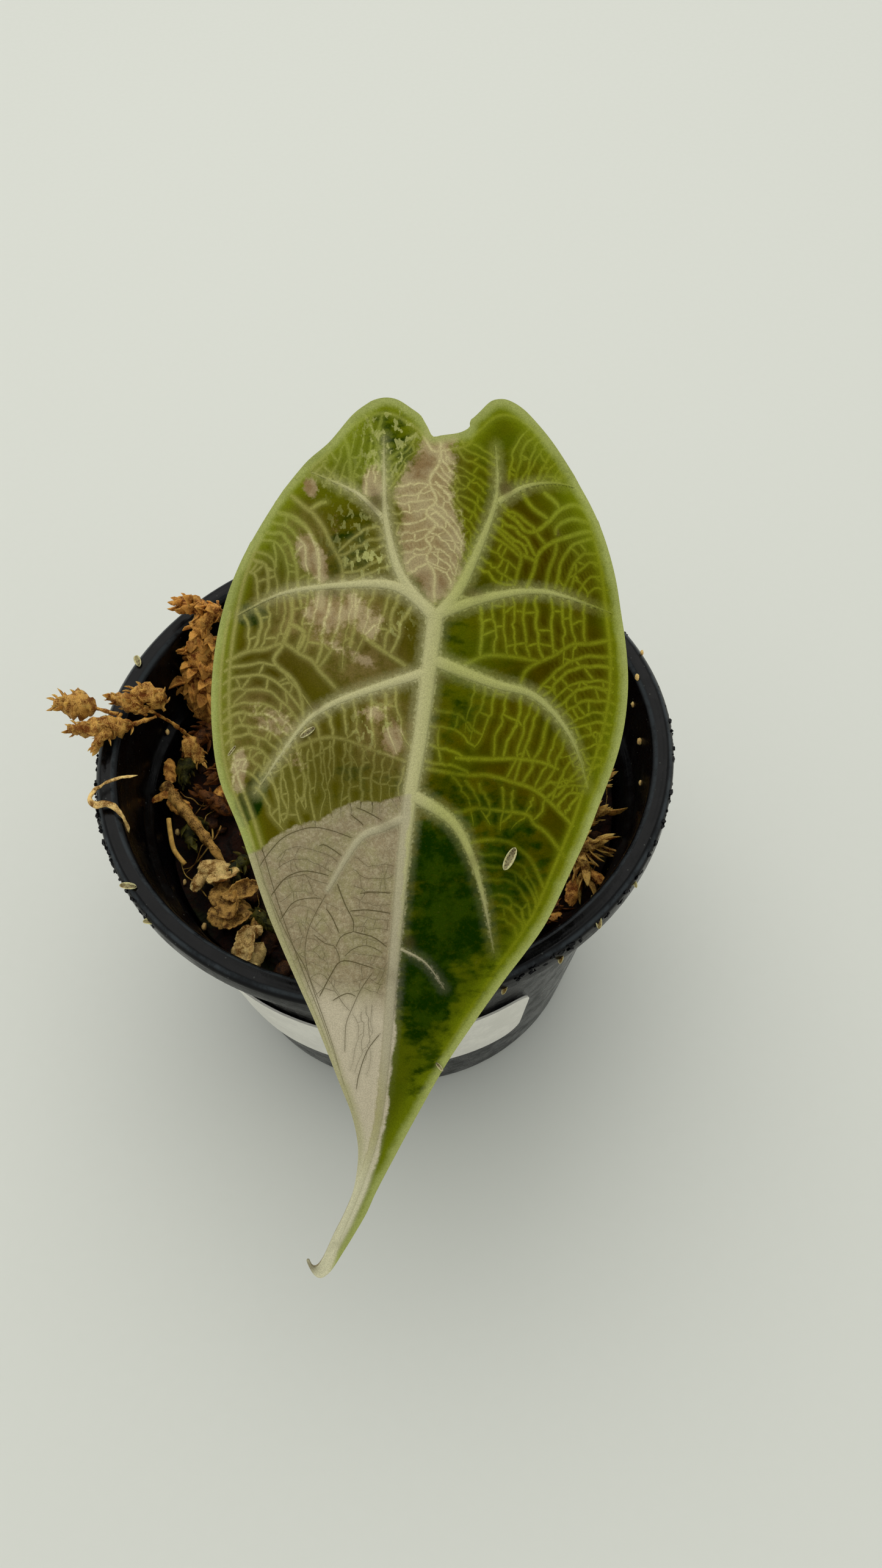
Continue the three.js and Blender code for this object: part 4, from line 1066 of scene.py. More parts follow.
@dataclass
class TuberAndSheath:
    """The tuber with its roots, and the papery sheath that stands on it round the stalk."""

    centre: tuple[float, float] = (2.2, 4.2)
    top_z: float = 41.0
    top_radius: float = 3.4
    radius: float = 5.8
    height: float = 13.0
    roots: int = 7
    root_radius: float = 0.85
    root_reach: Span = (12.5, 18)
    root_drop: Span = (9, 15)
    section: tuple[Span, ...] = ((0.0, 1.0), (0.55, 0.93), (0.95, 0.7), (1.0, 0.5), (0.8, 0.22))
    sheath_thickness: float = 0.5
    sheath_height: float = 13.0
    half_opening_deg: float = 128.0

    def build_tuber(self, material: Material) -> Piece:
        """Turns the ringed tuber and grows its roots."""
        swelling = [(wide * self.radius, self.top_z - low * self.height) for wide, low in self.section]
        outline = Route([*swelling, (self.top_radius, self.top_z)]).even(34)
        bm = lathe([*map(tuple, outline), (0.5 * self.top_radius, self.top_z), (0.0, self.top_z)], 40)
        for vert in bm.verts:
            rings = 0.16 * math.sin(4.6 * vert.co.z) + 0.4 * noise.noise(0.5 * vert.co)
            out = vert.co.xy.length
            if out > 0.6 * self.top_radius:
                vert.co.xy *= 1 + rings / max(out, 1.0)
        bmesh.ops.translate(bm, vec=(*self.centre, 0.0), verts=bm.verts[:])
        draw = random.Random(11)
        for index in range(self.roots):
            angle = TURN * (index + 0.6 * draw.random()) / self.roots
            reach = draw.uniform(*self.root_reach)
            drop = draw.uniform(*self.root_drop)
            swing = draw.uniform(-0.3, 0.3)
            start_z = self.top_z - 0.72 * self.height
            points = [self._out(0.4 * self.radius, angle, start_z),
                      self._out(0.55 * reach, angle + swing, start_z - 0.3 * drop),
                      self._out(0.85 * reach, angle - swing, start_z - 0.75 * drop),
                      self._out(reach, angle + swing, start_z - drop - 2)]
            route = Route(points).even(26)
            radii = self.root_radius * np.linspace(1, 0.45, len(route))
            radii = radii * (1 + 0.12 * np.sin(np.arange(len(route)) * 1.7))
            sweep(bm, route, radii, 9)
        return add_piece("tuber_and_roots", bm, material, ["corm"])

    def _out(self, distance: float, angle: float, z: float) -> Point:
        """A point at a distance and angle from the tuber's axis."""
        return (self.centre[0] + distance * math.cos(angle), self.centre[1] + distance * math.sin(angle), z)

    def build_sheath(self, stalk: "LeafStalk", material: Material) -> Piece:
        """Wraps the sheath round the stalk's foot, open behind and pointed in front."""
        half = math.radians(self.half_opening_deg)
        route = stalk.route()

        def place(across: float, along: float, layer: float) -> Point:
            """One point of the sheath."""
            angle = half * (2 * across - 1)
            height = self.sheath_height * (0.3 + 0.7 * math.cos(angle / 2) ** 4) * along
            centre = route.at(height / route.length)
            ripple = 0.1 * math.sin(9 * angle) * along
            flare = 1 + 0.12 * along
            radius = (stalk.foot_radius + 1.5 * GAP) * flare + self.sheath_thickness * layer + ripple
            towards = angle - math.pi / 2
            return (float(centre[0]) + radius * math.cos(towards),
                    float(centre[1]) + radius * math.sin(towards), self.top_z + GAP + height)

        bm = bmesh.new()
        curved_shell(bm, 48, 20, place)
        return add_piece("papery_sheath", bm, material, ["cataphyll"], sharp_deg=60)


@dataclass
class LeafStalk:
    """The stalk that rises from the tuber and bends forward under the blade."""

    points: tuple[Point, ...] = (
        (2.2, 4.2, 41.3), (2.3, 5.8, 54.0), (4.1, 5.4, 68.0), (6.7, -2.6, 78.0), (7.45, -7.1, 82.6))
    foot_radius: float = 1.9
    head_radius: float = 1.3
    sides: int = 28
    rings: int = 110

    def route(self) -> Route:
        """The stalk's centre line."""
        return Route(self.points)

    def build(self, material: Material) -> Piece:
        """Sweeps the stalk, with shallow grooves along it."""
        bm = bmesh.new()
        route = self.route().even(self.rings)
        rows = sweep(bm, route, np.linspace(self.foot_radius, self.head_radius, self.rings), self.sides,
                     up=(0.0, -1.0, 0.0))
        for row in rows[1:-1]:
            centre = sum((vert.co for vert in row[:-1]), Vector()) / self.sides
            for side, vert in enumerate(row):
                groove = 1 - 0.03 * (1 + math.cos(7 * TURN * side / self.sides))
                vert.co = centre + (vert.co - centre) * groove
        return add_piece("leaf_stalk", bm, material, ["petiole"])


@dataclass(frozen=True)
class MainVein:
    """A main vein of the blade: its route as (across, along) points and its half-widths."""

    route: tuple[Point, ...]
    root: float
    end: float


@dataclass(frozen=True)
class Fan:
    """A family of fine veins blended between guide curves, with short links across it."""

    guides: tuple[tuple[Point, ...], ...]
    count: int
    links: int = 2
    width: float = 0.17


@dataclass(frozen=True)
class Patch:
    """A soft ellipse on the blade where a colour shows."""

    across: float
    along: float
    half_across: float
    half_along: float
    strength: float = 1.0
    turn_deg: float = 0.0


MAIN_VEINS: tuple[MainVein, ...] = (
    MainVein(((0, 0), (-0.4, 12), (-1, 21.2), (-1.1, 38.6), (-1.3, 55), (-2.8, 64), (-5.2, 73)), 0.98, 0.36),
    MainVein(((0, 0), (-4, -4.2), (-6.1, -9.8), (-6.7, -13.9), (-7.2, -19)), 0.75, 0.1),
    MainVein(((0, 0), (2.3, -3.5), (4.5, -9.9), (5.3, -14.2), (4.7, -19)), 0.8, 0.1),
    MainVein(((-6.7, -10.4), (-9.3, -12.5), (-11.9, -13.6), (-14.6, -14.6)), 0.34, 0.1),
    MainVein(((5.5, -13), (8.1, -14.9), (11, -15.7), (13.6, -15.6)), 0.4, 0.1),
    MainVein(((-0.4, -0.6), (-4.7, -3.1), (-11.5, -2.5), (-16.8, -1.3), (-21.2, 1.2)), 0.75, 0.08),
    MainVein(((0.4, -0.6), (5.1, -2.7), (11.2, -4), (18.9, -2.6)), 0.72, 0.08),
    MainVein(((-0.3, 5.6), (-6.4, 8.1), (-10.4, 10.1), (-13.3, 12.8), (-17.6, 20.2)), 0.62, 0.1),
    MainVein(((-0.2, 4.2), (6.4, 6.1), (11.5, 7.2), (15.7, 11.2), (18, 16.4)), 0.78, 0.1),
    MainVein(((-1, 21), (-3.4, 22.4), (-6, 24), (-8.9, 29.8)), 0.6, 0.3),
    MainVein(((-0.9, 18.6), (3.6, 21), (6, 24.4), (7.8, 28.9), (9.6, 35)), 0.8, 0.06),
    MainVein(((-1.1, 35.2), (2.2, 36.6), (4.6, 39.4)), 0.2, 0.06),
)

SECOND_VEINS: tuple[tuple[Point, ...], ...] = (
    ((15.4, -12.8), (13.8, -13.6), (12.1, -12.8), (11.2, -11.6), (9.9, -10.3), (8.7, -10.1), (7.6, -11.1),
     (6.1, -12)),
    ((15.8, -11.6), (15.2, -11.8), (13.7, -12), (12.7, -11.6), (11.9, -10.9), (11.9, -10)),
    ((16.4, -10.7), (15.2, -10.8), (13.2, -10), (11.4, -9.1), (10.2, -7.8), (9.9, -6.1), (9.3, -4.1)),
    ((12, -9.2), (12, -8.1), (11.5, -6.2), (11.4, -4.2)),
    ((5.2, -10.4), (7.1, -8.8), (8.4, -7.6), (8.2, -5.6), (8, -3.8)),
    ((8.4, -7.6), (9.6, -7.2), (10.2, -7)),
    ((10.2, -14.6), (11.6, -13.6), (12.1, -12.9)),
    ((8, -14.2), (9.2, -12.7), (10.9, -11.7)),
    ((19.2, 0.2), (16.6, 1), (14.9, 1.2), (14.1, 1.7), (12.8, 2.7), (11.3, 3.5), (10, 4.6), (9.6, 6.4)),
    ((11.3, 3.4), (8.1, 3.2), (5.6, 3.4), (3.4, 4.6)),
    ((0.4, 15.8), (4.6, 16.1), (7.1, 15.9), (9.8, 16.4), (11.9, 16.9), (14.1, 18.3), (16.8, 20.6)),
    ((3.4, 14.4), (6.9, 14.2), (9.6, 13.9), (12.5, 14), (14.6, 14.6)),
    ((2, 20.4), (4.3, 20.1), (6.1, 19.5), (8.9, 19.5), (11.7, 19.7), (12.4, 20.6), (13.9, 21.5), (16.2, 24)),
    ((5.4, 23.4), (7.8, 22.7), (9.5, 22.7), (10.4, 23), (12.4, 24.4), (14.2, 27.4)),
    ((-1.2, -19.2), (-1, -16.6), (-1.9, -14.4), (-1, -12.4), (-2, -11), (-0.8, -9.8), (-1.8, -8.4),
     (-1.1, -7.4), (-1.5, -6.2), (-0.5, -4.7), (-0.4, -3), (-0.1, -1.4)),
    ((-22, 6.4), (-19.7, 5.1), (-17.8, 4.7), (-15.8, 4), (-13.8, 5), (-12.6, 5.5), (-11.6, 6.6),
     (-9.8, 8.2)),
    ((-15.5, -1.6), (-15.2, 1.2), (-15.8, 4), (-16.7, 5.9), (-14.7, 7.5), (-13.6, 9), (-13, 11.6)),
    ((-15.4, 1.8), (-13.6, 2.7), (-14.2, 4.7)),
    ((-7.6, 2.4), (-5.2, 3.8), (-2.6, 5.2)),
    ((-8.6, -2.4), (-8.4, 1.4), (-8.6, 3.9)),
    ((-17.9, -9.9), (-16.3, -9.6), (-15.1, -9), (-14.1, -8), (-13, -6.1), (-12.6, -2.6)),
    ((-16.6, -11.9), (-14.8, -10.6), (-13.9, -10), (-12.6, -8.5), (-11.6, -6.8), (-10.4, -4.9), (-10, -2.6)),
    ((-14.4, -10.3), (-13.3, -11.2), (-12.6, -11.4)),
    ((-10.2, -12.8), (-10.4, -15), (-10.9, -17.4), (-12, -19.4)),
    ((-7.2, -17), (-8.6, -19.4), (-8.8, -21.6)),
    ((-17.2, 18.4), (-15.8, 16), (-13.2, 14.6), (-9.6, 13.4), (-5, 14.4), (-1.2, 15.4)),
    ((-16.4, 28), (-15.7, 26.7), (-14, 24.5), (-11.4, 23.2), (-9.2, 23.2), (-6.2, 24)),
    ((-14.9, 31), (-14.6, 30.5), (-13.4, 28.8), (-11.6, 27.9), (-9.7, 28), (-8.4, 28.3)),
    ((-13.8, 33.6), (-13.4, 33), (-12.4, 31.4), (-10.8, 30.8), (-9.5, 30.7)),
    ((-8.6, 29.4), (-9.9, 32.3), (-10.6, 34.5), (-10.7, 37), (-10, 39.5), (-8.9, 41.7)),
    ((-7.9, 28.9), (-6.8, 31.1), (-5.8, 32.7), (-5.7, 33.9)),
    ((-5.3, 29.7), (-3.9, 29.4), (-2.1, 29.4)),
    ((-6.2, 31.7), (-4.4, 31.4), (-1.8, 31.6)),
    ((-5.7, 33.9), (-4.5, 34.1), (-3.4, 34.4), (-2, 35.3)),
    ((-5.7, 33.9), (-6.9, 34.5), (-7.4, 35.7)),
    ((-9.9, 34.7), (-8.6, 35.5), (-7.6, 35.7), (-7, 36.8), (-6.9, 37.4)),
    ((-8.8, 41.5), (-7.6, 38.6), (-6.9, 37.4), (-5.7, 37.2), (-3.2, 37.8)),
    ((-6.4, 36.7), (-5.7, 35.9), (-4.7, 35.4), (-3.7, 35.4), (-2.4, 36)),
    ((-3.3, 38.3), (-4.4, 40.3), (-5.2, 42.6), (-5.7, 44.5), (-5.6, 47.6)),
    ((-7.3, 41.8), (-6.4, 41.1), (-5.6, 40.8), (-4.9, 41.1)),
    ((-8.8, 31.8), (-8.1, 32.6), (-7.2, 34.2)),
    ((-6.5, 20.6), (-5.4, 20.9), (-3, 22)),
    ((-7, 21.4), (-5.8, 22.2), (-5.2, 22.9)),
    ((-10.1, 25), (-9.4, 24.9), (-7.6, 25.9)),
    ((-16.1, 29.1), (-14.8, 31.4), (-13.2, 34.4), (-11.8, 36.6), (-10.5, 38.6), (-9, 42.1), (-7, 47),
     (-5, 53)),
    ((-1.9, 45.2), (-3.2, 47.4), (-3.9, 50.4), (-4, 52)),
)

FANS: tuple[Fan, ...] = (
    Fan((((6.2, -14.9), (6.4, -17.4), (6.9, -19.6), (8.2, -21.4)), ((11.6, -15.9), (12.1, -16.3),
         (12.7, -16.8), (13.2, -17.2))), 8),
    Fan((((4.9, -17.6), (3.2, -18.6), (1, -19.2)), ((3.2, -5.6), (2.8, -6.4), (2.3, -7))), 13, 1),
    Fan((((5.8, -12.6), (8.2, -11.4), (9.9, -10.2)), ((3.9, -5.8), (5.2, -5), (6.2, -4.2))), 7),
    Fan((((12.3, -4.4), (12.6, -6.6), (13.4, -8.5), (14.6, -9.7), (16.8, -10.2)), ((15.8, -3.9),
         (16.4, -4.6), (17, -4.9), (17.6, -5), (18.6, -5))), 5, 3),
    Fan((((4.4, -2.2), (5, 0.4), (5.1, 2.2)), ((10.1, -3.6), (10.5, 0.2), (11.2, 3.2)), ((15.4, -3.6),
         (15.9, -1.2), (16, 0.8))), 10),
    Fan((((19.4, 2), (17.6, 2.2), (15.4, 2.9), (13.4, 4), (11.4, 6.6)), ((19.8, 5.6), (18.3, 5.3),
         (16.8, 5.4), (15.4, 5.9), (13.6, 7.8)), ((19.9, 9.2), (18.9, 9), (17.6, 9.2), (16.6, 9.7),
         (15, 10.4)), ((19.5, 14.2), (19.1, 13.9), (18.7, 13.9), (18.3, 14.1), (17.5, 14.6))), 11, 4),
    Fan((((4.8, 5.8), (4.7, 8.2), (4.4, 10)), ((10.2, 7.2), (9.6, 10.8), (8.9, 13.6)), ((14.4, 10.4),
         (13.3, 13.6), (12.2, 16.8)), ((17.3, 14), (16.2, 15.2), (15.2, 16.4))), 12, 1),
    Fan((((12.4, 17.2), (14, 16), (16.4, 15.6)), ((15.6, 19.4), (16.4, 18), (17.4, 17.4))), 4),
    Fan((((3, 16.2), (4.6, 18), (5.4, 19.6)), ((13.4, 17.8), (13, 19.2), (12.2, 20.2))), 7, 0),
    Fan((((6.6, 24.2), (9.6, 24.2), (12.2, 25.6), (13.8, 28.4)), ((7.4, 27.2), (9.8, 26.8), (12, 28),
         (13.2, 30.4)), ((8.8, 31.6), (9.8, 31.2), (11, 31.8), (12, 33))), 6, 1),
    Fan((((0.6, 9.2), (3.4, 9.6), (5.2, 11.2)), ((0.2, 15), (2.6, 15.2), (5, 15.8))), 4, 1),
    Fan((((-20.6, 1), (-19.9, 2.6), (-19.8, 5)), ((-15.4, -1.4), (-15.2, 1.2), (-15.9, 4.1)), ((-11, -2.4),
         (-11, 0.6), (-11.6, 5)), ((-5.6, -3), (-6, -0.2), (-6.6, 3)), ((-2.6, -1.6), (-3.2, 0.4),
         (-4.2, 3.6))), 15, 1),
    Fan((((-22.2, 7.4), (-20.6, 6.6), (-18.4, 6.2), (-16.2, 6.6), (-13, 9.4)), ((-22, 10.4), (-20.6, 9.4),
         (-18.6, 9.2), (-16.4, 9.5), (-13.6, 12)), ((-21.4, 14.6), (-20.2, 13.6), (-18.4, 13.2),
         (-16.8, 13.5), (-14.9, 15)), ((-20.2, 19.4), (-19.7, 18.2), (-19.1, 17.8), (-18.4, 18),
         (-17.4, 18.8))), 10, 4),
    Fan((((-17.6, 19.6), (-16.4, 20.6), (-15.4, 22.4)), ((-13.4, 12.4), (-12.2, 14.8), (-11.4, 18)),
         ((-8, 8.6), (-7.2, 11.6), (-6.6, 14.4)), ((-3.6, 7.4), (-3, 10), (-2.4, 12.4))), 13, 1),
    Fan((((-20.6, -3.6), (-19.8, -3.2), (-19.4, -2.4), (-19.2, -0.4)), ((-19.4, -6.9), (-17.7, -6.8),
         (-16.5, -5.4), (-15.6, -1.2)), ((-17.9, -10), (-15.3, -9.1), (-13.4, -6.8), (-12.4, -2.2))), 7, 3),
    Fan((((-14.6, -14.2), (-13.2, -16), (-12.6, -17.6)), ((-9, -11.8), (-9.4, -14.6), (-9, -17.6)),
         ((-7.2, -15), (-7.8, -17.8), (-7.4, -20.8))), 7, 2),
    Fan((((-6, -9.6), (-8.2, -8.6), (-10.4, -7)), ((-4.6, -5.6), (-6.6, -4.6), (-8.8, -3.2))), 5, 1),
    Fan((((-5.8, -13.6), (-3.6, -14), (-1.6, -14.2)), ((-5.2, -9.6), (-3.2, -9.8), (-1.6, -10.4)),
         ((-3.4, -4.4), (-2.2, -5.4), (-0.8, -5.8))), 10, 1),
    Fan((((-1, -18.2), (0, -17), (0.7, -16.2)), ((-1.4, -11.8), (0.6, -10.4), (2, -8.6)), ((-0.6, -5.4),
         (0.8, -4.8), (1.6, -3.6))), 13, 1),
    Fan((((-6.8, -16.4), (-5, -18), (-3.6, -19.6)), ((-6.2, -12.8), (-5.4, -14.2), (-4.6, -16))), 4, 1),
    Fan((((-14.6, 26.6), (-12.8, 25.4), (-10.4, 25.6), (-8, 26.4)), ((-13, 36), (-11.8, 34.4), (-10.4, 34.4),
         (-8.8, 35.6)), ((-9.8, 42.6), (-8.8, 40.8), (-7.6, 40.6), (-6.4, 41.8))), 11, 3, 0.075),
    Fan((((-6.4, 25.8), (-4.6, 26.6), (-2.2, 26.4)), ((-5.2, 40.6), (-3.8, 40.2),
         (-2.2, 40.8))), 11, 3, 0.075),
    Fan((((-16.2, 17), (-15.4, 19.6), (-14.6, 22.6)), ((-9.8, 13.8), (-9.6, 16.6), (-9.2, 20)),
         ((-4.4, 14.8), (-4.4, 17), (-4.2, 19.2)), ((-1.8, 15.6), (-2, 17.2), (-2.2, 18.6))), 14, 2, 0.13),
    Fan((((-5, 43), (-4.2, 45.4), (-4.4, 48)), ((-3, 42), (-2.8, 45), (-2.6, 48.6))), 4, 2, 0.07),
)

OUTLINES: dict[str, tuple[Point, ...]] = {
    "left": (
        (-17.4, -12.4), (-19.6, -8.2), (-21.5, -4), (-23, 1.2), (-23.4, 7.8), (-22.9, 13.6), (-21.5, 19.2),
        (-18.6, 24.8), (-15.6, 31.8), (-13.4, 36.3), (-11.3, 40.3), (-8.7, 45.3), (-5.9, 51.5), (-4.2, 55.6),
        (-3.3, 60), (-3.5, 64.9), (-4.4, 68.5), (-5.5, 71.7), (-6.4, 74.6), (-6.9, 75.9), (-7.3, 76.5),
        (-7.7, 76.5), (-8, 76), (-8.2, 75.5)),
    "right": (
        (13.4, -16.8), (15.3, -13.9), (17.3, -10.1), (19.1, -5.3), (20.6, 0.7), (21.3, 6), (20.9, 12),
        (18.8, 19.9), (16.8, 25.8), (14.9, 31), (12.9, 34.7), (10.9, 38), (8.6, 42.1), (5.6, 48),
        (2.9, 54.6), (0.7, 60.5), (-0.9, 65), (-1.8, 68), (-3, 71.1), (-4.2, 74), (-5.4, 76.6), (-6.3, 77.8),
        (-7, 78), (-7.6, 77.5), (-8.2, 76.4), (-8.5, 75.6)),
    "lobes": (
        (-17.4, -12.4), (-15.3, -15.6), (-12.9, -17.9), (-10.8, -20.9), (-9.3, -22.3), (-8.5, -22.8),
        (-7.3, -23.1), (-6, -22.9), (-4.4, -22), (-3.5, -21.4), (-3, -20.7), (-2.6, -20.1), (-2, -19.2),
        (-1.1, -19.4), (0.5, -19.8), (1.3, -20.2), (1.8, -20.7), (1.75, -21.3), (2.2, -21.8), (2.7, -22.4),
        (3.7, -23.6), (4.6, -24), (5.6, -24), (7, -23.4), (8.4, -22.3), (10.7, -20), (13.4, -16.8)),
    "tip": (
        (-8.2, 75.5), (-8.4, 75.5), (-8.5, 75.6)),
    "cream": (
        (-0.8, 18.6), (-2.5, 19.1), (-4.3, 19.8), (-6.8, 20), (-8.8, 21.2), (-10.4, 22.4), (-12.4, 23),
        (-14.5, 24.3), (-16.2, 25.9), (-30, 34), (-20, 60), (-12, 82), (-6, 79), (-5, 74), (-3.5, 70),
        (-1.9, 64.5), (-1, 60), (-0.4, 55), (-0.3, 45), (-0.8, 38), (-0.9, 26)),
    "pink_wedge": (
        (0.3, -21), (0.2, -17), (0.4, -14.1), (1.2, -11.3), (1.7, -9.5), (2.1, -7.2), (2, -4.7), (1, -2),
        (-0.6, -2.2), (-3.2, -4.8), (-4.4, -7.4), (-4.8, -10.4), (-5.1, -13.2), (-4.2, -15.6), (-3.2, -17.8),
        (-2.2, -21)),
}

PATCHES: dict[str, tuple[Patch, ...]] = {name: tuple(Patch(*row) for row in rows) for name, rows in {
    "pink": (
        (-13.6, -5.4, 1.3, 2.8, 1, -28), (-14.6, -12.9, 0.7, 1.1, 1, -30), (-7.9, -13.9, 1.2, 1.6),
        (-11.4, 0.3, 2.8, 2.3, 0.8, -6), (-9.2, -0.2, 1.6, 2, 0.7), (-8.6, 4.4, 3.4, 0.7, 0.6, 22),
        (-16.4, 12.1, 2.5, 1.4, 0.66, 14), (-19.4, 17.8, 0.8, 2.2), (-3.4, 13, 1.2, 2.4, 0.75),
        (-5.3, 10.6, 2, 0.9, 0.6), (-11.5, -8.6, 1, 1.6, 0.55), (-13.4, 16.4, 1.6, 1.2, 0.5),
        (-6.6, 1.2, 1.6, 1.6, 0.6)),
    "tint": (
        (-11, 1.2, 5.8, 4.2, 0.8), (-7.6, 5.6, 4.2, 2.6, 0.6), (-16.6, 12.2, 4, 3, 0.6),
        (-4, 12.2, 2.8, 3.6, 0.7), (-14.4, -6.6, 2.4, 3.6, 0.5, -28), (-19.2, 16.6, 2, 3.6, 0.5)),
    "fresh": (
        (-9, -18.4, 5.4, 5.4, 1), (-17.6, -8.4, 2.6, 5.4, 0.7, -28), (-12.4, -13.4, 3.4, 2.6, 0.5),
        (3.2, 4, 3.6, 5, 0.45), (7, -20.4, 5.4, 2.6, 0.6), (13.4, -13, 3, 4.4, 0.6, -32)),
    "deep": (
        (2.6, 1, 2.8, 2.6, 0.35), (2.8, 25.2, 3.4, 5.4, 1), (4.2, 31.5, 4.4, 5.8, 1.1),
        (2.6, 39, 3.2, 6.4, 1.1), (7, 35, 3.4, 5, 0.5), (10, 25.4, 4.4, 6.4, 0.72),
        (-19.7, 1.2, 1.6, 1.2, 1.2), (-17.9, 20.8, 1.3, 2.9, 1.3, 24), (7, 19.6, 5.4, 2.6, 0.64),
        (-6.4, -19.2, 2.4, 2.8, 0.6), (-5, -17.6, 1.2, 2.6, 0.7), (-9.6, -7, 2.8, 3.4, 0.5),
        (3, 9.6, 3.2, 3.6, 0.42), (4, 17.6, 5.4, 3, 0.42), (-6, 17.4, 5.4, 2, 0.3),
        (3.4, 47, 1.8, 6, 0.5, 12)),
    "bronze": (
        (10, -9, 5.6, 4.6, 1, 20), (14.6, 3.2, 5.2, 5, 0.85), (11.2, 0.2, 6, 2.4, 0.8),
        (14.6, 16.4, 3.4, 5, 0.7), (9.4, 11.2, 4.4, 3.6, 0.6), (11.4, 15, 5, 3.2, 0.7),
        (1.4, -9, 1.6, 5.6, 0.6), (-17, 8, 3.6, 4.6, 0.6), (-6.4, 2.6, 4.4, 2.6, 0.55),
        (-15.4, 0.6, 3, 2.4, 0.6), (-7.6, 14.8, 5.4, 3.4, 0.45), (16, -5.4, 2.6, 4.2, 0.8),
        (13.4, 24.6, 2.6, 4.6, 0.2), (-18.6, -4.6, 2.4, 3, 0.4)),
    "spot": (
        (6.2, -14.5, 0.75, 0.8, 0.9), (-7.4, -11.7, 0.8, 1, 0.8), (3.9, -3.1, 1, 0.5, 0.6),
        (-11.1, -1.8, 0.7, 0.5, 0.75), (-11.9, 10.4, 0.7, 0.45, 0.6), (-3.1, 22.2, 1, 0.6, 0.35),
        (0.3, 34.6, 0.7, 0.7, 0.5), (6.4, 25, 0.6, 0.8, 0.35), (12.1, -10.3, 0.2, 0.3, 1),
        (-1.8, 38.4, 1.2, 0.9, 0.35), (-8.1, 76.4, 0.9, 1, 0.8), (1.3, 6.2, 0.8, 0.5, 0.4)),
    "netless": (
        (4, 33, 7.5, 10, 1), (2, 1.2, 2, 2, 0.7), (3, 9.4, 3.4, 3.4, 0.6), (-7.5, 16.8, 7, 4.2, 0.6),
        (4.5, 18, 5.4, 3, 0.55), (1, 60, 8, 20, 1), (-8.5, -7, 3.4, 4, 0.3), (10, 26, 3.8, 5.2, 0.75),
        (-6, -19, 3, 3, 0.4)),
    "fleck": (
        (-6.4, -18.4, 3, 4.4, 0.8), (-9.4, -9, 2.6, 3.2, 0.4, 30), (-7.6, -5.6, 2.4, 1.6, 1),
        (-5, 11.6, 2.4, 2.2, 0.7), (-4.4, 1, 2, 1.6, 0.5), (-13.6, -13.8, 2, 1.6, 0.4)),
}.items()}


@dataclass
class FineVein:
    """One fine vein: its points and its half-widths at root and end."""

    points: Array
    root: float
    end: float


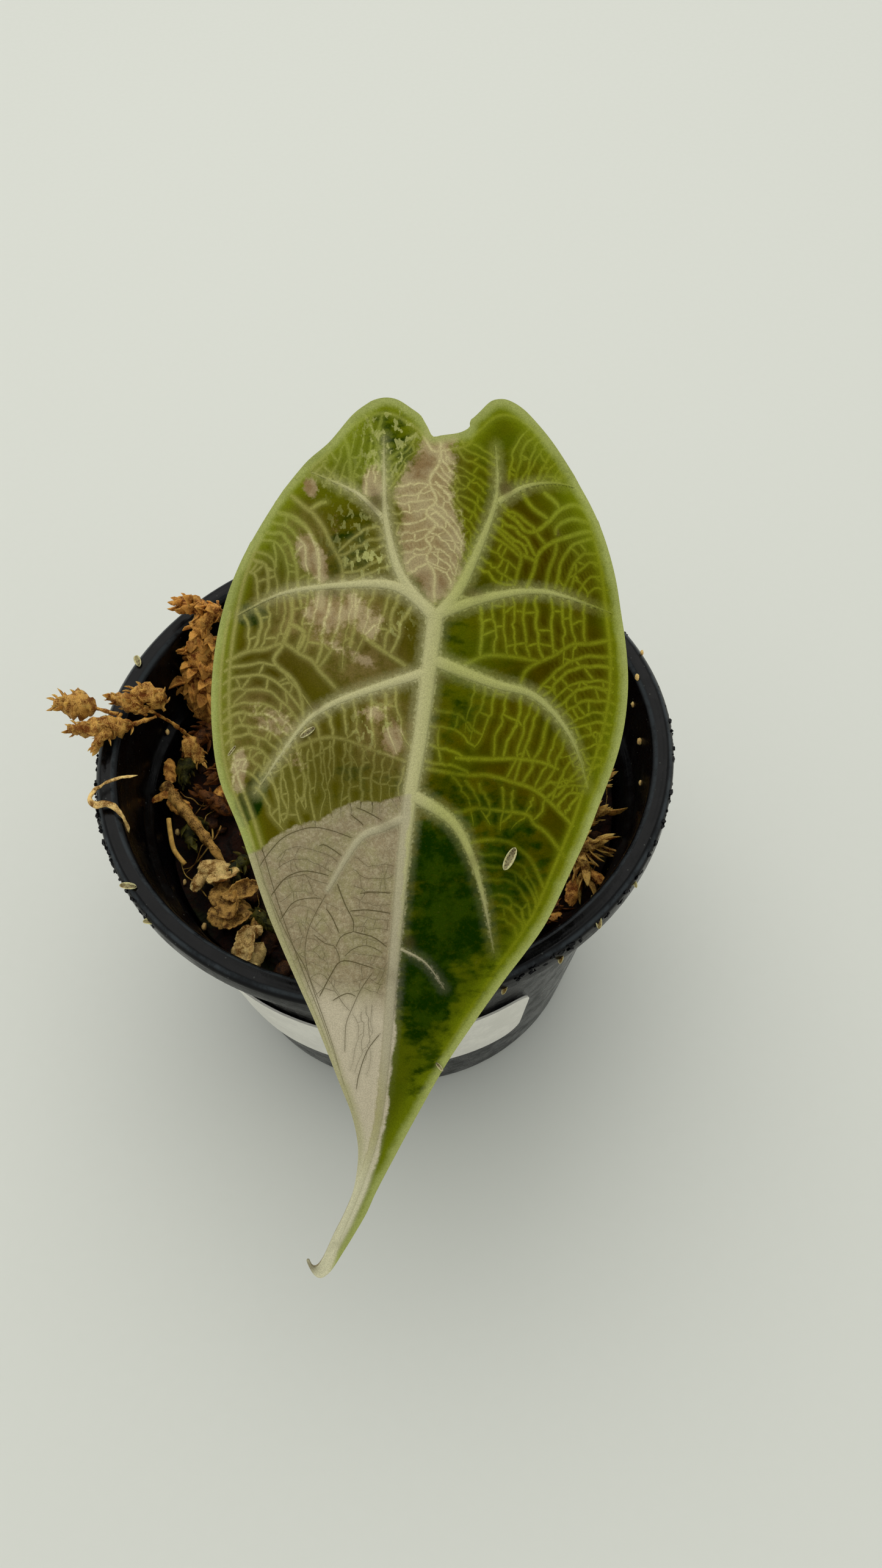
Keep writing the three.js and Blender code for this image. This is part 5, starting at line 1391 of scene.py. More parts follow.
class VeinNet:
    """Lays fine veins on the flat blade; a loose end runs on until it meets another vein."""

    STRIDE = 0.3
    REACH = 0.34
    CELL = 0.6
    WANDER = 0.08
    JITTER = 0.16

    def __init__(self, seed: int) -> None:
        """Starts an empty net with its own random draw."""
        self.draw = random.Random(seed)
        self.cells: dict[tuple[int, int], list[tuple[float, float, int]]] = {}
        self.veins: list[FineVein] = []
        self.count = 0

    def lay(self, points: Array) -> int:
        """Marks a route as taken and returns its number."""
        index = self.count
        self.count += 1
        for across, along in Route(points).walk(0.2, 2):
            key = (math.floor(across / self.CELL), math.floor(along / self.CELL))
            self.cells.setdefault(key, []).append((across, along, index))
        return index

    def add(self, points: Array, root: float, end: float) -> int:
        """Keeps a fine vein and marks its route."""
        self.veins.append(FineVein(np.array(points, float), root, end))
        return self.lay(points)

    def meet(self, across: float, along: float, ignore: int) -> tuple[float, float] | None:
        """The nearest taken point within reach, leaving one vein out."""
        column, row = math.floor(across / self.CELL), math.floor(along / self.CELL)
        best, found = self.REACH, None
        for near_column in (column - 1, column, column + 1):
            for near_row in (row - 1, row, row + 1):
                for other_across, other_along, index in self.cells.get((near_column, near_row), ()):
                    distance = math.hypot(other_across - across, other_along - along)
                    if index != ignore and distance < best:
                        best, found = distance, (other_across, other_along)
        return found

    def trace(self, start: Array, heading: float, ignore: int, limit: float,
              clear: float = 0.5) -> tuple[list[Point], bool]:
        """Walks until another vein is met.

        Args:
            start: the (across, along) point where it sets out.
            heading: the way it goes, in radians.
            ignore: the number of a vein that doesn't count.
            limit: the longest walk.
            clear: how far it walks before a meeting counts.

        Returns:
            The points walked, and whether another vein was met.
        """
        points = [tuple(start)]
        across, along = start
        walked = 0.0
        drift = 0.0
        while walked < limit:
            drift = 0.6 * drift + self.draw.uniform(-self.WANDER, self.WANDER)
            heading += drift
            across += self.STRIDE * math.cos(heading)
            along += self.STRIDE * math.sin(heading)
            walked += self.STRIDE
            met = self.meet(across, along, ignore) if walked > clear else None
            if met:
                points.append(met)
                return points, True
            points.append((across, along))
        return points, False

    def spread(self, fan: Fan) -> None:
        """Lays a family of veins between its guides and ties neighbours together."""
        samples = 11
        guides = Route([Route(guide).even(samples).ravel() for guide in fan.guides])
        shares = np.linspace(0, 1, fan.count)
        shares += np.array([self.draw.uniform(-0.22, 0.22) for _ in shares]) / fan.count
        laid = []
        for flat in guides.at(np.clip(shares, 0, 1)):
            points = flat.reshape(samples, 2)
            wave = self.draw.uniform(0, 6.28)
            bend = 0.1 * np.sin(wave + np.linspace(0, 5, samples))
            jitter = np.array([self.draw.uniform(-self.JITTER, self.JITTER) for _ in range(2 * samples)])
            points = points + np.column_stack([bend, 0.6 * bend]) + jitter.reshape(samples, 2)
            heading = math.atan2(*(points[-1] - points[-2])[::-1])
            onward, met = self.trace(points[-1], heading, -1, 1.6, 0.0)
            points = np.vstack([points, onward[1:]])
            width = fan.width * self.draw.uniform(0.75, 1.2)
            laid.append((self.add(points, width, 0.8 * width if met else 0.3 * width), Route(points)))
        for (index, route), (_, following) in zip(laid, laid[1:]):
            for _ in range(fan.links):
                self._link(index, route, following, 0.7 * fan.width)

    def _link(self, index: int, route: Route, following: Route, width: float) -> None:
        """Ties two neighbouring veins with one short strand."""
        share = self.draw.uniform(0.12, 0.88)
        here = route.at(np.array([share]))[0]
        there = following.at(np.array([min(1.0, share + self.draw.uniform(-0.1, 0.1))]))[0]
        heading = math.atan2(there[1] - here[1], there[0] - here[0])
        reach = math.hypot(*(there - here))
        strand, met = self.trace(here, heading, index, reach + 0.5, 0.4)
        if met and len(strand) > 2:
            self.add(strand, width, width)


@dataclass
class LeafBlade:
    """The single arrow-shaped leaf: arch, quilting, veins and the fields that colour it."""

    junction: Point = (7.6, -8.0, 84.0)
    slope_deg: float = 36.0
    yaw_deg: float = 8.5
    columns: int = 112
    rows: int = 224
    thickness: float = 0.7
    margin_thickness: float = 0.34
    tail_droop: float = 0.0036
    droop_start: float = 14.0
    margin_droop: float = 0.006
    leaf_length: float = 70.0
    quilt: float = 0.7
    quilt_reach: float = 3.0
    ridge: float = 0.3
    pucker: float = 0.05
    pucker_reach: float = 0.7
    turned_down: float = 0.3
    rim_shares: Point = (0.05, 0.95, 0.024, 0.978)
    rim_top: float = 0.018
    rim_widths: Span = (0.2, 0.12)
    second_widths: Span = (0.22, 0.18)
    strand_step: float = 0.45
    strand_lift: float = 0.012
    strand_flat: float = 0.1
    strand_on_cream: float = 0.7
    strand_on_green: float = 2.3
    bare_from: float = 0.78
    keel_sink: Span = (0.12, 0.72)
    keel_flat: float = 0.7
    crest_share: float = 0.92
    crest_flat: float = 0.09

    def __post_init__(self) -> None:
        """Works out the leaf's axes, its edges and its vein net."""
        slope, yaw = math.radians(self.slope_deg), math.radians(self.yaw_deg)
        downhill = np.array([0.0, -math.cos(slope), -math.sin(slope)])
        sideways = np.array([1.0, 0.0, 0.0])
        self.along_axis = downhill * math.cos(yaw) - sideways * math.sin(yaw)
        self.across_axis = downhill * math.sin(yaw) + sideways * math.cos(yaw)
        self.out_axis = np.array([0.0, -math.sin(slope), math.cos(slope)])
        self.edges = {name: Route(OUTLINES[name]) for name in ("left", "right", "lobes", "tip")}
        self.outline_ring = np.vstack([
            self.edges["lobes"].even(90), self.edges["right"].even(160)[1:],
            self.edges["tip"].even(6)[1:], self.edges["left"].even(160)[::-1][1:-1]])
        self.net = self._grow_net()

    def outline(self, across: Array, along: Array) -> Array:
        """Leaf millimetres of points given as shares across and along the blade."""
        left, right = self.edges["left"].at(along), self.edges["right"].at(along)
        lobes, tip = self.edges["lobes"].at(across), self.edges["tip"].at(across)
        across, along = across[..., None], along[..., None]
        corners = [self.edges[name].at(end) for name in ("lobes", "tip") for end in (0.0, 1.0)]
        top_left, top_right, tip_left, tip_right = corners
        return ((1 - across) * left + across * right + (1 - along) * lobes + along * tip
                - (1 - along) * ((1 - across) * top_left + across * top_right)
                - along * ((1 - across) * tip_left + across * tip_right))

    def _grow_net(self) -> VeinNet:
        """Lays the main, rim and traced veins, then grows the net between them."""
        net = VeinNet(23)
        for vein in MAIN_VEINS:
            net.lay(np.array(vein.route, float))
        count = 60
        ends = np.linspace(self.rim_top, 0.9, count)
        across = np.linspace(*self.rim_shares[:2], count)
        top = self.outline(across, np.full(count, self.rim_top))
        sides = [self.outline(np.full(count, share), ends) for share in self.rim_shares]
        for points in (*sides[:2], top, *sides[2:]):
            net.add(points, *self.rim_widths)
        for points in SECOND_VEINS:
            net.add(np.array(points, float), *self.second_widths)
        for fan in FANS:
            net.spread(fan)
        return net

    def build(self, material: Material) -> Piece:
        """Models the blade and its veins flat, then bends them to their place."""
        bm = bmesh.new()
        vein = bm.verts.layers.float.new("vein")
        under = bm.verts.layers.float.new("under")
        self._blade(bm, under)
        self._strands(bm, vein)
        core = bm.verts.layers.float.new("core")
        for main in MAIN_VEINS:
            self._keel(bm, main, under)
            self._crest(bm, main, core)
        bmesh.ops.remove_doubles(bm, verts=bm.verts[:], dist=1e-5)
        flat = np.array([vert.co for vert in bm.verts])
        fields = self._fields(flat)
        bent = self._bend(flat, fields)
        for vert, place in zip(bm.verts, bent):
            vert.co = place
        for name, values in fields.items():
            layer = bm.verts.layers.float.new(name)
            for vert, value in zip(bm.verts, values):
                vert[layer] = value
        return add_piece("leaf_blade_and_veins", bm, material, ["leaf_blade"], sharp_deg=70)

    def _blade(self, bm: Mesh, under: Layer) -> None:
        """Adds the blade's two faces as a closed plate, thinner at its margin."""
        verts = curved_shell(bm, self.columns, self.rows, lambda *shares: shares)
        shares = np.array([vert.co for vert in verts])
        places = self.outline(shares[:, 0], shares[:, 1])
        inset = np.minimum(np.minimum(shares[:, 0], 1 - shares[:, 0]) * self.columns,
                           np.minimum(shares[:, 1], 1 - shares[:, 1]) * self.rows)
        thick = self.margin_thickness + (self.thickness - self.margin_thickness) * smooth(0, 6, inset)
        for vert, (across, along), depth, share in zip(verts, places, thick, shares):
            lower = share[2] < 0.5
            vert.co = (across, along, -depth if lower else 0.0)
            vert[under] = 1.0 if lower else 0.0

    def _strands(self, bm: Mesh, vein: Layer) -> None:
        """Adds every fine vein as a low strand half sunk in the upper face."""
        lines = []
        for fine in self.net.veins:
            route = Route(fine.points)
            count = max(4, int(route.length / self.strand_step) + 1)
            lines.append((route.even(count), np.linspace(fine.root, fine.end, count)))
        everything = np.vstack([points for points, _ in lines])
        keep = (self._rib_distance(everything) > -0.15) & (self._inside(everything, self.outline_ring) > 0.3)
        cream = self._inside(everything, OUTLINES["cream"]) > 0
        keep &= cream | (patches(everything, PATCHES["netless"]) < self.bare_from)
        factor = np.where(cream, self.strand_on_cream, self.strand_on_green)
        start = 0
        for points, width in lines:
            span = slice(start, start + len(points))
            start += len(points)
            points, width = longest_run(points, width * factor[span], keep[span])
            if len(points) < 3:
                continue
            width[[0, -1]] *= 0.6
            path = np.column_stack([points, np.full(len(points), self.strand_lift)])
            strength = self.net.draw.uniform(0.7, 1.0)
            for row in sweep(bm, path, width, 3, flat=self.strand_flat)[1:-1]:
                paint((row[0], row[-1]), vein, strength)

    @staticmethod
    def _inside(points: Array, corners: Sequence[Point]) -> Array:
        """How far points lie inside an outline."""
        return signed_distance(points, np.array(corners, float))

    @staticmethod
    def _rib_distance(points: Array) -> Array:
        """Distance from points to the side of the nearest main vein, negative within it."""
        rib = np.full(len(points), 50.0)
        for main in MAIN_VEINS:
            distance, share = distance_to_line(points, Route(main.route).walk(0.8, 8))
            rib = np.minimum(rib, distance - (main.root + (main.end - main.root) * share))
        return rib

    def _keel(self, bm: Mesh, main: MainVein, under: Layer) -> None:
        """Adds a main vein's raised keel under the blade."""
        route = Route(main.route).walk(0.7, 8)
        radii = np.linspace(main.root, max(main.end, 0.3), len(route))
        base, growth = self.keel_sink
        depth = base + growth * radii
        for row in sweep(bm, np.column_stack([route, -depth]), radii, 10, flat=self.keel_flat):
            paint(row, under, 1.0)

    def _crest(self, bm: Mesh, main: MainVein, core: Layer) -> None:
        """Adds a main vein's low round crest on the upper face."""
        route = Route(main.route).walk(0.5, 8)
        count, sides = len(route), 10
        radii = self.crest_share * np.linspace(main.root, main.end, count)
        path = np.column_stack([route, np.zeros(count)])
        for index, row in enumerate(sweep(bm, path, radii, sides, flat=self.crest_flat)[1:-1]):
            fade = 1 - 0.75 * (index / count) ** 1.5
            for side, vert in enumerate(row):
                vert[core] = fade * max(0.0, math.cos(TURN * side / sides)) ** 0.5

    def _fields(self, flat: Array) -> dict[str, Array]:
        """The values that shape and colour the blade, at each vertex.

        Args:
            flat: vertices as (across, along, height).

        Returns:
            Named values, one for each vertex; distances are in millimetres.
        """
        points = flat[:, :2]
        edge, _ = distance_to_line(points, np.vstack([self.outline_ring, self.outline_ring[:1]]))
        cream = self._inside(points, OUTLINES["cream"])
        wedge = self._inside(points, OUTLINES["pink_wedge"])
        soft = {name: np.clip(patches(points, PATCHES[name]), 0, 1)
                for name in ("deep", "bronze", "spot", "fleck", "tint", "fresh")}
        return soft | {
            "rib": self._rib_distance(points),
            "net": self._net_distance(points),
            "edge": edge,
            "cream": cream,
            "west": smooth(3.0, -2.0, points[:, 0]),
            "pink": np.maximum(wedge, 2.2 * (patches(points, PATCHES["pink"]) - 0.5)),
            "shown": 1 - np.clip(patches(points, PATCHES["netless"]), 0, 1),
            "low": smooth(24, 40, points[:, 1]),
            "pale": smooth(39.6, 44.4, points[:, 1] - 0.16 * points[:, 0]),
            "tail": smooth(54, 68, points[:, 1]) * smooth(-0.5, 0.4, cream),
        }

    def _net_distance(self, points: Array) -> Array:
        """Distance from each point to the nearest fine vein."""
        samples = np.vstack([Route(fine.points).walk(0.16, 3) for fine in self.net.veins])
        tree = kdtree.KDTree(len(samples))
        for index, (across, along) in enumerate(samples):
            tree.insert((across, along, 0.0), index)
        tree.balance()
        return np.array([tree.find((across, along, 0.0))[2] for across, along in points])

    def _bend(self, flat: Array, fields: dict[str, Array]) -> Array:
        """Places flat points in the frame, in millimetres."""
        across, along, height = flat.T
        past = np.maximum(along - self.droop_start, 0)
        lobes = np.maximum(-along, 0)
        widening = 1 - 0.35 * np.clip(along / self.leaf_length, 0, 1)
        arch = -self.tail_droop * (past ** 2 + lobes ** 2) - self.margin_droop * widening * across ** 2
        rib, net, edge = fields["rib"], fields["net"], fields["edge"]
        quilt = self.quilt * (1 - np.exp(-((np.maximum(rib, 0) + 0.4) / self.quilt_reach) ** 2))
        crest = self.ridge * smooth(0.35, -0.6, rib)
        pucker = self.pucker * (1 - np.exp(-(net / self.pucker_reach) ** 2)) * smooth(0.3, 1.4, rib)
        turned_down = -self.turned_down * np.exp(-(edge / 0.9) ** 2)
        lift = arch + quilt + crest + (pucker + turned_down) * smooth(0.2, 1.2, edge + 0.3) + height
        return (np.array(self.junction) + across[:, None] * self.across_axis
                + along[:, None] * self.along_axis + lift[:, None] * self.out_axis)

    def place(self, across: float, along: float, height: float) -> Vector:
        """The frame point over one spot of the blade, in millimetres."""
        flat = np.array([[across, along, height]])
        return Vector(self._bend(flat, self._fields(flat))[0])


def distance_to_line(points: Array, line: Array) -> tuple[Array, Array]:
    """Distance from points to a broken line.

    Args:
        points: the points, one row each.
        line: the line's corners, one row each.

    Returns:
        Each point's distance, and the share of the line where it is nearest.
    """
    best = np.full(len(points), np.inf)
    share = np.zeros(len(points))
    count = len(line) - 1
    for index, (start, end) in enumerate(zip(line, line[1:])):
        side = end - start
        along = np.clip(((points - start) @ side) / max(side @ side, 1e-9), 0, 1)
        distance = np.hypot(*(points - start - along[:, None] * side).T)
        nearer = distance < best
        best[nearer] = distance[nearer]
        share[nearer] = (index + along[nearer]) / count
    return best, share


def longest_run(points: Array, width: Array, keep: Array) -> tuple[Array, Array]:
    """The longest unbroken stretch of kept points, with their widths."""
    best = (0, 0)
    start = 0
    for index in range(len(keep) + 1):
        if index == len(keep) or not keep[index]:
            if index - start > best[1] - best[0]:
                best = (start, index)
            start = index + 1
    return points[best[0]:best[1]], width[best[0]:best[1]]


def signed_distance(points: Array, corners: Array) -> Array:
    """Distance from points to a closed outline, positive inside it."""
    ring = np.vstack([corners, corners[:1]])
    distance, _ = distance_to_line(points, ring)
    inside = np.zeros(len(points), bool)
    for (x0, y0), (x1, y1) in zip(ring, ring[1:]):
        crosses = (y0 > points[:, 1]) != (y1 > points[:, 1])
        height = y1 - y0 if abs(y1 - y0) > 1e-9 else 1e-9
        inside ^= crosses & (points[:, 0] < (x1 - x0) * (points[:, 1] - y0) / height + x0)
    return np.where(inside, distance, -distance)


def patches(points: Array, spots: Iterable[Patch]) -> Array:
    """The strongest of some soft ellipses at each point."""
    total = np.zeros(len(points))
    for spot in spots:
        turn = math.radians(spot.turn_deg)
        shifted = points - (spot.across, spot.along)
        across = (shifted[:, 0] * math.cos(turn) + shifted[:, 1] * math.sin(turn)) / spot.half_across
        along = (-shifted[:, 0] * math.sin(turn) + shifted[:, 1] * math.cos(turn)) / spot.half_along
        total = np.maximum(total, spot.strength * np.exp(-0.7 * (across ** 2 + along ** 2) ** 1.6))
    return total


@dataclass(frozen=True)
class Stem:
    """One leafy stem of a moss: route, leaf length, bare share at the foot, draw, girth, leaf width."""

    points: tuple[Point, ...]
    leaf: float
    bare: float
    seed: int
    thick: float = 0.9
    slim: float = 0.34


@dataclass
class MossSpray:
    """Club-shaped moss stems, as rows of Stem's values, with small cupped, pointed leaves."""

    name: str
    nodes: tuple[str, ...]
    slot: str
    finish: str
    stems: tuple[tuple, ...]
    leaf_step: float = 0.24
    foot_radius: float = 0.26
    leaf_turn: float = 2.4
    lumps: float = 0.9
    lean_deg: Span = (66, 34)

    def build(self, material: Material) -> Piece:
        """Sweeps the stems and sets their leaves."""
        bm, tip = tipped_mesh()
        for stem in self.stems:
            self._stem(bm, Stem(*stem), tip)
        return add_piece(self.name, bm, material, self.nodes)

    def _girth(self, stem: Stem, shares: Array) -> Array:
        """The stem's radius at shares of its length: a thin foot, then a club."""
        grown = np.clip((shares - stem.bare) / (1 - stem.bare), 0, 1)
        club = np.sin(math.pi * np.clip(grown, 0, 0.97) ** 0.75) ** 0.7
        return self.foot_radius + (stem.thick - self.foot_radius) * np.where(grown > 0, club, 0)

    def _stem(self, bm: Mesh, stem: Stem, tip: Layer) -> None:
        """Adds one stem with its leaves."""
        draw = random.Random(stem.seed)
        route = Route(stem.points)
        line = route.walk(0.4, 8)
        shift = Vector((stem.seed, 0, 0))
        rows = sweep(bm, line, self._girth(stem, np.linspace(0, 1, len(line))), 10)
        for row, centre in zip(rows[1:-1], line):
            centre = Vector(centre)
            for vert in row[:-1]:
                lump = noise.noise(1.3 * vert.co + shift)
                vert.co = centre + (vert.co - centre) * (1 + self.lumps * lump)
                vert[tip] = 0.35 + 0.5 * lump
            row[-1].co, row[-1][tip] = row[0].co, row[0][tip]
        turn = draw.uniform(0, 6.28)
        walked = stem.bare * route.length
        while walked < route.length:
            share = min(0.98, walked / route.length)
            here, ahead = route.at(np.array([share, share + 0.02]))
            tangent = Vector(ahead - here).normalized()
            turn += self.leaf_turn + draw.uniform(-0.5, 0.5)
            radial = Matrix.Rotation(turn, 3, tangent) @ tangent.orthogonal().normalized()
            girth = float(self._girth(stem, np.array([share]))[0])
            steep, eased = self.lean_deg
            lean = math.radians(steep - eased * share) * draw.uniform(0.25, 1.55)
            axis = math.cos(lean) * tangent + math.sin(lean) * radial
            length = stem.leaf * draw.uniform(0.5, 1.45)
            side = tangent.cross(radial).normalized()
            self._leaf(bm, tip, Vector(here) + 0.6 * girth * radial, axis, side, length,
                       length * stem.slim * draw.uniform(0.75, 1.2))
            walked += self.leaf_step * draw.uniform(0.7, 1.3)

    @staticmethod
    def _leaf(bm: Mesh, tip: Layer, foot: Vector, axis: Vector, side: Vector, length: float,
              width: float) -> None:
        """Adds one small cupped leaf that points along an axis."""
        face = side.cross(axis).normalized()
        for vert in bmesh.ops.create_uvsphere(bm, u_segments=6, v_segments=5, radius=1.0)["verts"]:
            x, y, z = vert.co
            along = (z + 1) / 2
            cup = 0.5 * width * x * x - 0.2 * length * (along - 0.35) ** 2
            vert.co = (foot + axis * (length * along) + side * (0.8 * width * x * (1.2 - 0.85 * along ** 2))
                       + face * (0.24 * width * y * (1.15 - 0.75 * along) + cup))
            vert[tip] = 0.2 + 0.8 * along


@dataclass
class DryBits:
    """The ringed dry stem on the mix and the curled root over the lip."""

    strand: tuple[Point, ...] = (
        (-31.4, 1.6, 42.6), (-28.4, -2.6, 42.2), (-24.8, -7.4, 40.8), (-22.6, -10.8, 38.8))
    root: tuple[Point, ...] = (
        (-31.8, -4.6, 54.2), (-34.4, -5, 54.3), (-36.6, -6.2, 54.3), (-37.5, -7.8, 54.2),
        (-36.6, -8.9, 54.2), (-35.2, -8.8, 54.2), (-33.8, -9.6, 53.6), (-33, -10.8, 52.2), (-33, -11.6, 51))
    root_wobble: float = 0.16
    root_seed: int = 19

    def build_strand(self, material: Material) -> Piece:
        """The ringed dry stem, open and hollow at its upper end."""
        bm, tip = tipped_mesh()
        route = Route(self.strand).even(72)
        shares = np.linspace(0, 1, len(route))
        radii = 0.84 + 0.06 * np.cos(40 * shares) + 0.1 * (shares < 0.05) - 0.42 * shares ** 2
        rows = sweep(bm, route, radii, 14)
        mouth = rows[0][:-1] + rows[0][-1:]
        inward = Vector(route[8] - route[0])
        for vert in mouth:
            vert.co += inward
        for index, row in enumerate(rows):
            for side, vert in enumerate(row[:-1]):
                centre = Vector(route[min(max(index - 1, 0), len(route) - 1)])
                if 0 < index < len(rows) - 1:
                    crease = 1 + 0.34 * noise.noise(Vector((0.3 * index, 0.9 * side, 0.0)))
                    vert.co = centre + (vert.co - centre) * crease
                vert[tip] = 0.35 + 0.4 * noise.noise(Vector((0.2 * index, side, 4.0)))
            row[-1].co = row[0].co
            row[-1][tip] = row[0][tip]
        return add_piece("dry_ringed_stem", bm, material, ["husk_strand"])

    def build_root(self, material: Material) -> Piece:
        """The curled dry root that hooks over the lip."""
        bm, tip = tipped_mesh()
        route = Route(self.root).even(70)
        shares = np.linspace(0, 1, len(route))
        swollen = 0.22 + 0.26 * np.exp(-((shares - 0.62) / 0.16) ** 2)
        radii = swollen * smooth(0.0, 0.08, np.minimum(shares, 1 - shares) + 0.02)
        noise.seed_set(self.root_seed)
        for row in sweep(bm, route, radii, 9, flat=0.7):
            for vert in row:
                vert.co += self.root_wobble * Vector(noise.noise_vector(1.4 * vert.co))
                vert[tip] = 0.6 + 0.6 * noise.noise(0.8 * vert.co)
            row[-1].co = row[0].co
        return add_piece("curled_dry_root", bm, material, ["dry_root_rim"])


@dataclass(frozen=True)
class Flake:
    """A thin dry scale, rolled across its width, with ragged pointed ends."""

    centre: Point
    length: float
    width: float
    roll_deg: float
    spin_deg: float
    tilt_deg: float = 0.0
    lean_deg: float = 0.0
    arch: float = 0.4
    thickness: float = 0.15
    ragged: float = 0.28

    def place(self, across: float, along: float, layer: float) -> Vector:
        """One point of the flake from its shares across and along."""
        side, reach = 2 * across - 1, 2 * along - 1
        seed = self.spin_deg + self.length
        torn = noise.noise(Vector((6.0 * reach, math.copysign(3.0, side), seed)))
        waist = (1 - abs(reach) ** 1.8) ** 0.62 * (1 + self.ragged * torn) + 0.04
        half = math.radians(self.roll_deg) / 2
        radius = 0.5 * self.width / half
        out = radius + layer * self.thickness
        fold = abs(noise.noise(Vector((1.5 * side, 1.3 * reach, seed + 9))))
        fold += 0.3 * abs(noise.noise(Vector((2.6 * side, 2.6 * reach, seed + 5))))
        frill = 0.3 * side ** 2 * noise.noise(Vector((4.5 * reach, math.copysign(2.0, side), seed + 2)))
        height = out * math.cos(half * side * waist) - radius - self.arch * reach ** 2 + 0.2 * fold + frill
        spot = Vector((0.5 * self.length * reach * (1 + 0.12 * torn), out * math.sin(half * side * waist),
                       height))
        turn = (Matrix.Rotation(math.radians(self.spin_deg), 3, "Z")
                @ Matrix.Rotation(math.radians(self.lean_deg), 3, "Y")
                @ Matrix.Rotation(math.radians(self.tilt_deg), 3, "X"))
        return Vector(self.centre) + turn @ spot


@dataclass(frozen=True)
class FlakeGroup:
    """Curled flakes that make one piece, as rows of Flake's values."""

    name: str
    nodes: tuple[str, ...]
    finish: str
    flakes: tuple[tuple, ...]

    def build(self, material: Material) -> Piece:
        """Rolls the flakes."""
        bm, tip = tipped_mesh()
        for row in self.flakes:
            for vert in curved_shell(bm, 14, 20, Flake(*row).place):
                vert[tip] = 0.5 + 1.0 * noise.noise(1.6 * vert.co)
        return add_piece(self.name, bm, material, self.nodes)


DRY_FLAKES: tuple[FlakeGroup, ...] = (
    FlakeGroup("curled_bark_flake", ("bark_flake",), "pale", (
        ((-23.6, -12, 41.3), 5.6, 4.2, 130, -14, 14, 6, 0.9),
        ((-22.6, -13.2, 41.5), 4.4, 3.2, 110, 16, 150, 0, 0.5),
        ((-26, -13, 40.9), 3.4, 1.9, 140, 66, 20, 0, 0.5))),
    FlakeGroup("bark_flake_clump", ("bark_clump",), "husk", (
        ((-22.6, -15.4, 40.9), 4.2, 3.8, 110, 62, 22, 8), ((-21.4, -17.4, 41.4), 4.8, 3.8, 120, 96, 160, 6),
        ((-22.9, -18.4, 40.5), 3.8, 3, 120, 128, 20, -8), ((-19.8, -15, 41.2), 4.2, 2.8, 120, 20, 200, 4),
        ((-19.6, -17.2, 40.4), 3.8, 2.8, 110, 118, 40, 6),
        ((-20.6, -19.4, 40.8), 4.2, 2.8, 120, 40, 170, 10), ((-21.4, -15.9, 41.4), 3, 2.2, 90, 150, 40, 0),
        ((-18.4, -19, 40.1), 3.4, 2, 130, 84, -30, 0))),
    FlakeGroup("dry_bud_scales", ("dry_bud",), "pale", (
        ((-19, -23.2, 41.4), 5, 3.2, 150, 84, 176, -14), ((-20, -24.6, 40.7), 4.2, 3, 110, 112, -34, -6),
        ((-18, -24.8, 40.7), 4.4, 3, 110, 62, 34, -6), ((-19.2, -25.6, 40.8), 3.4, 3.4, 100, 92, 0, 12),
        ((-18, -21.6, 41.7), 2.6, 1.7, 120, 28, 20, 0))),
    FlakeGroup("brown_leaf_bits", (), "rust", (
        ((-31.6, -0.2, 43), 4.6, 1.2, 120, 24, 0, -6, 0.5), ((-29.2, -1.8, 42.2), 4.4, 2.4, 100, -34, 22, 8),
        ((-31, 4.4, 42.4), 4.6, 2, 110, 96, 30, 0), ((-24.2, 0.6, 41.4), 4, 2, 110, 52, 0, -10),
        ((24, -17.6, 40.4), 4.4, 2.2, 110, 70, 26, 0), ((20.2, -21, 40.4), 3.8, 2.2, 110, 20, -28, 6),
        ((27.4, -15.8, 40.6), 3.6, 1.6, 120, 130, 0, 0))),
)


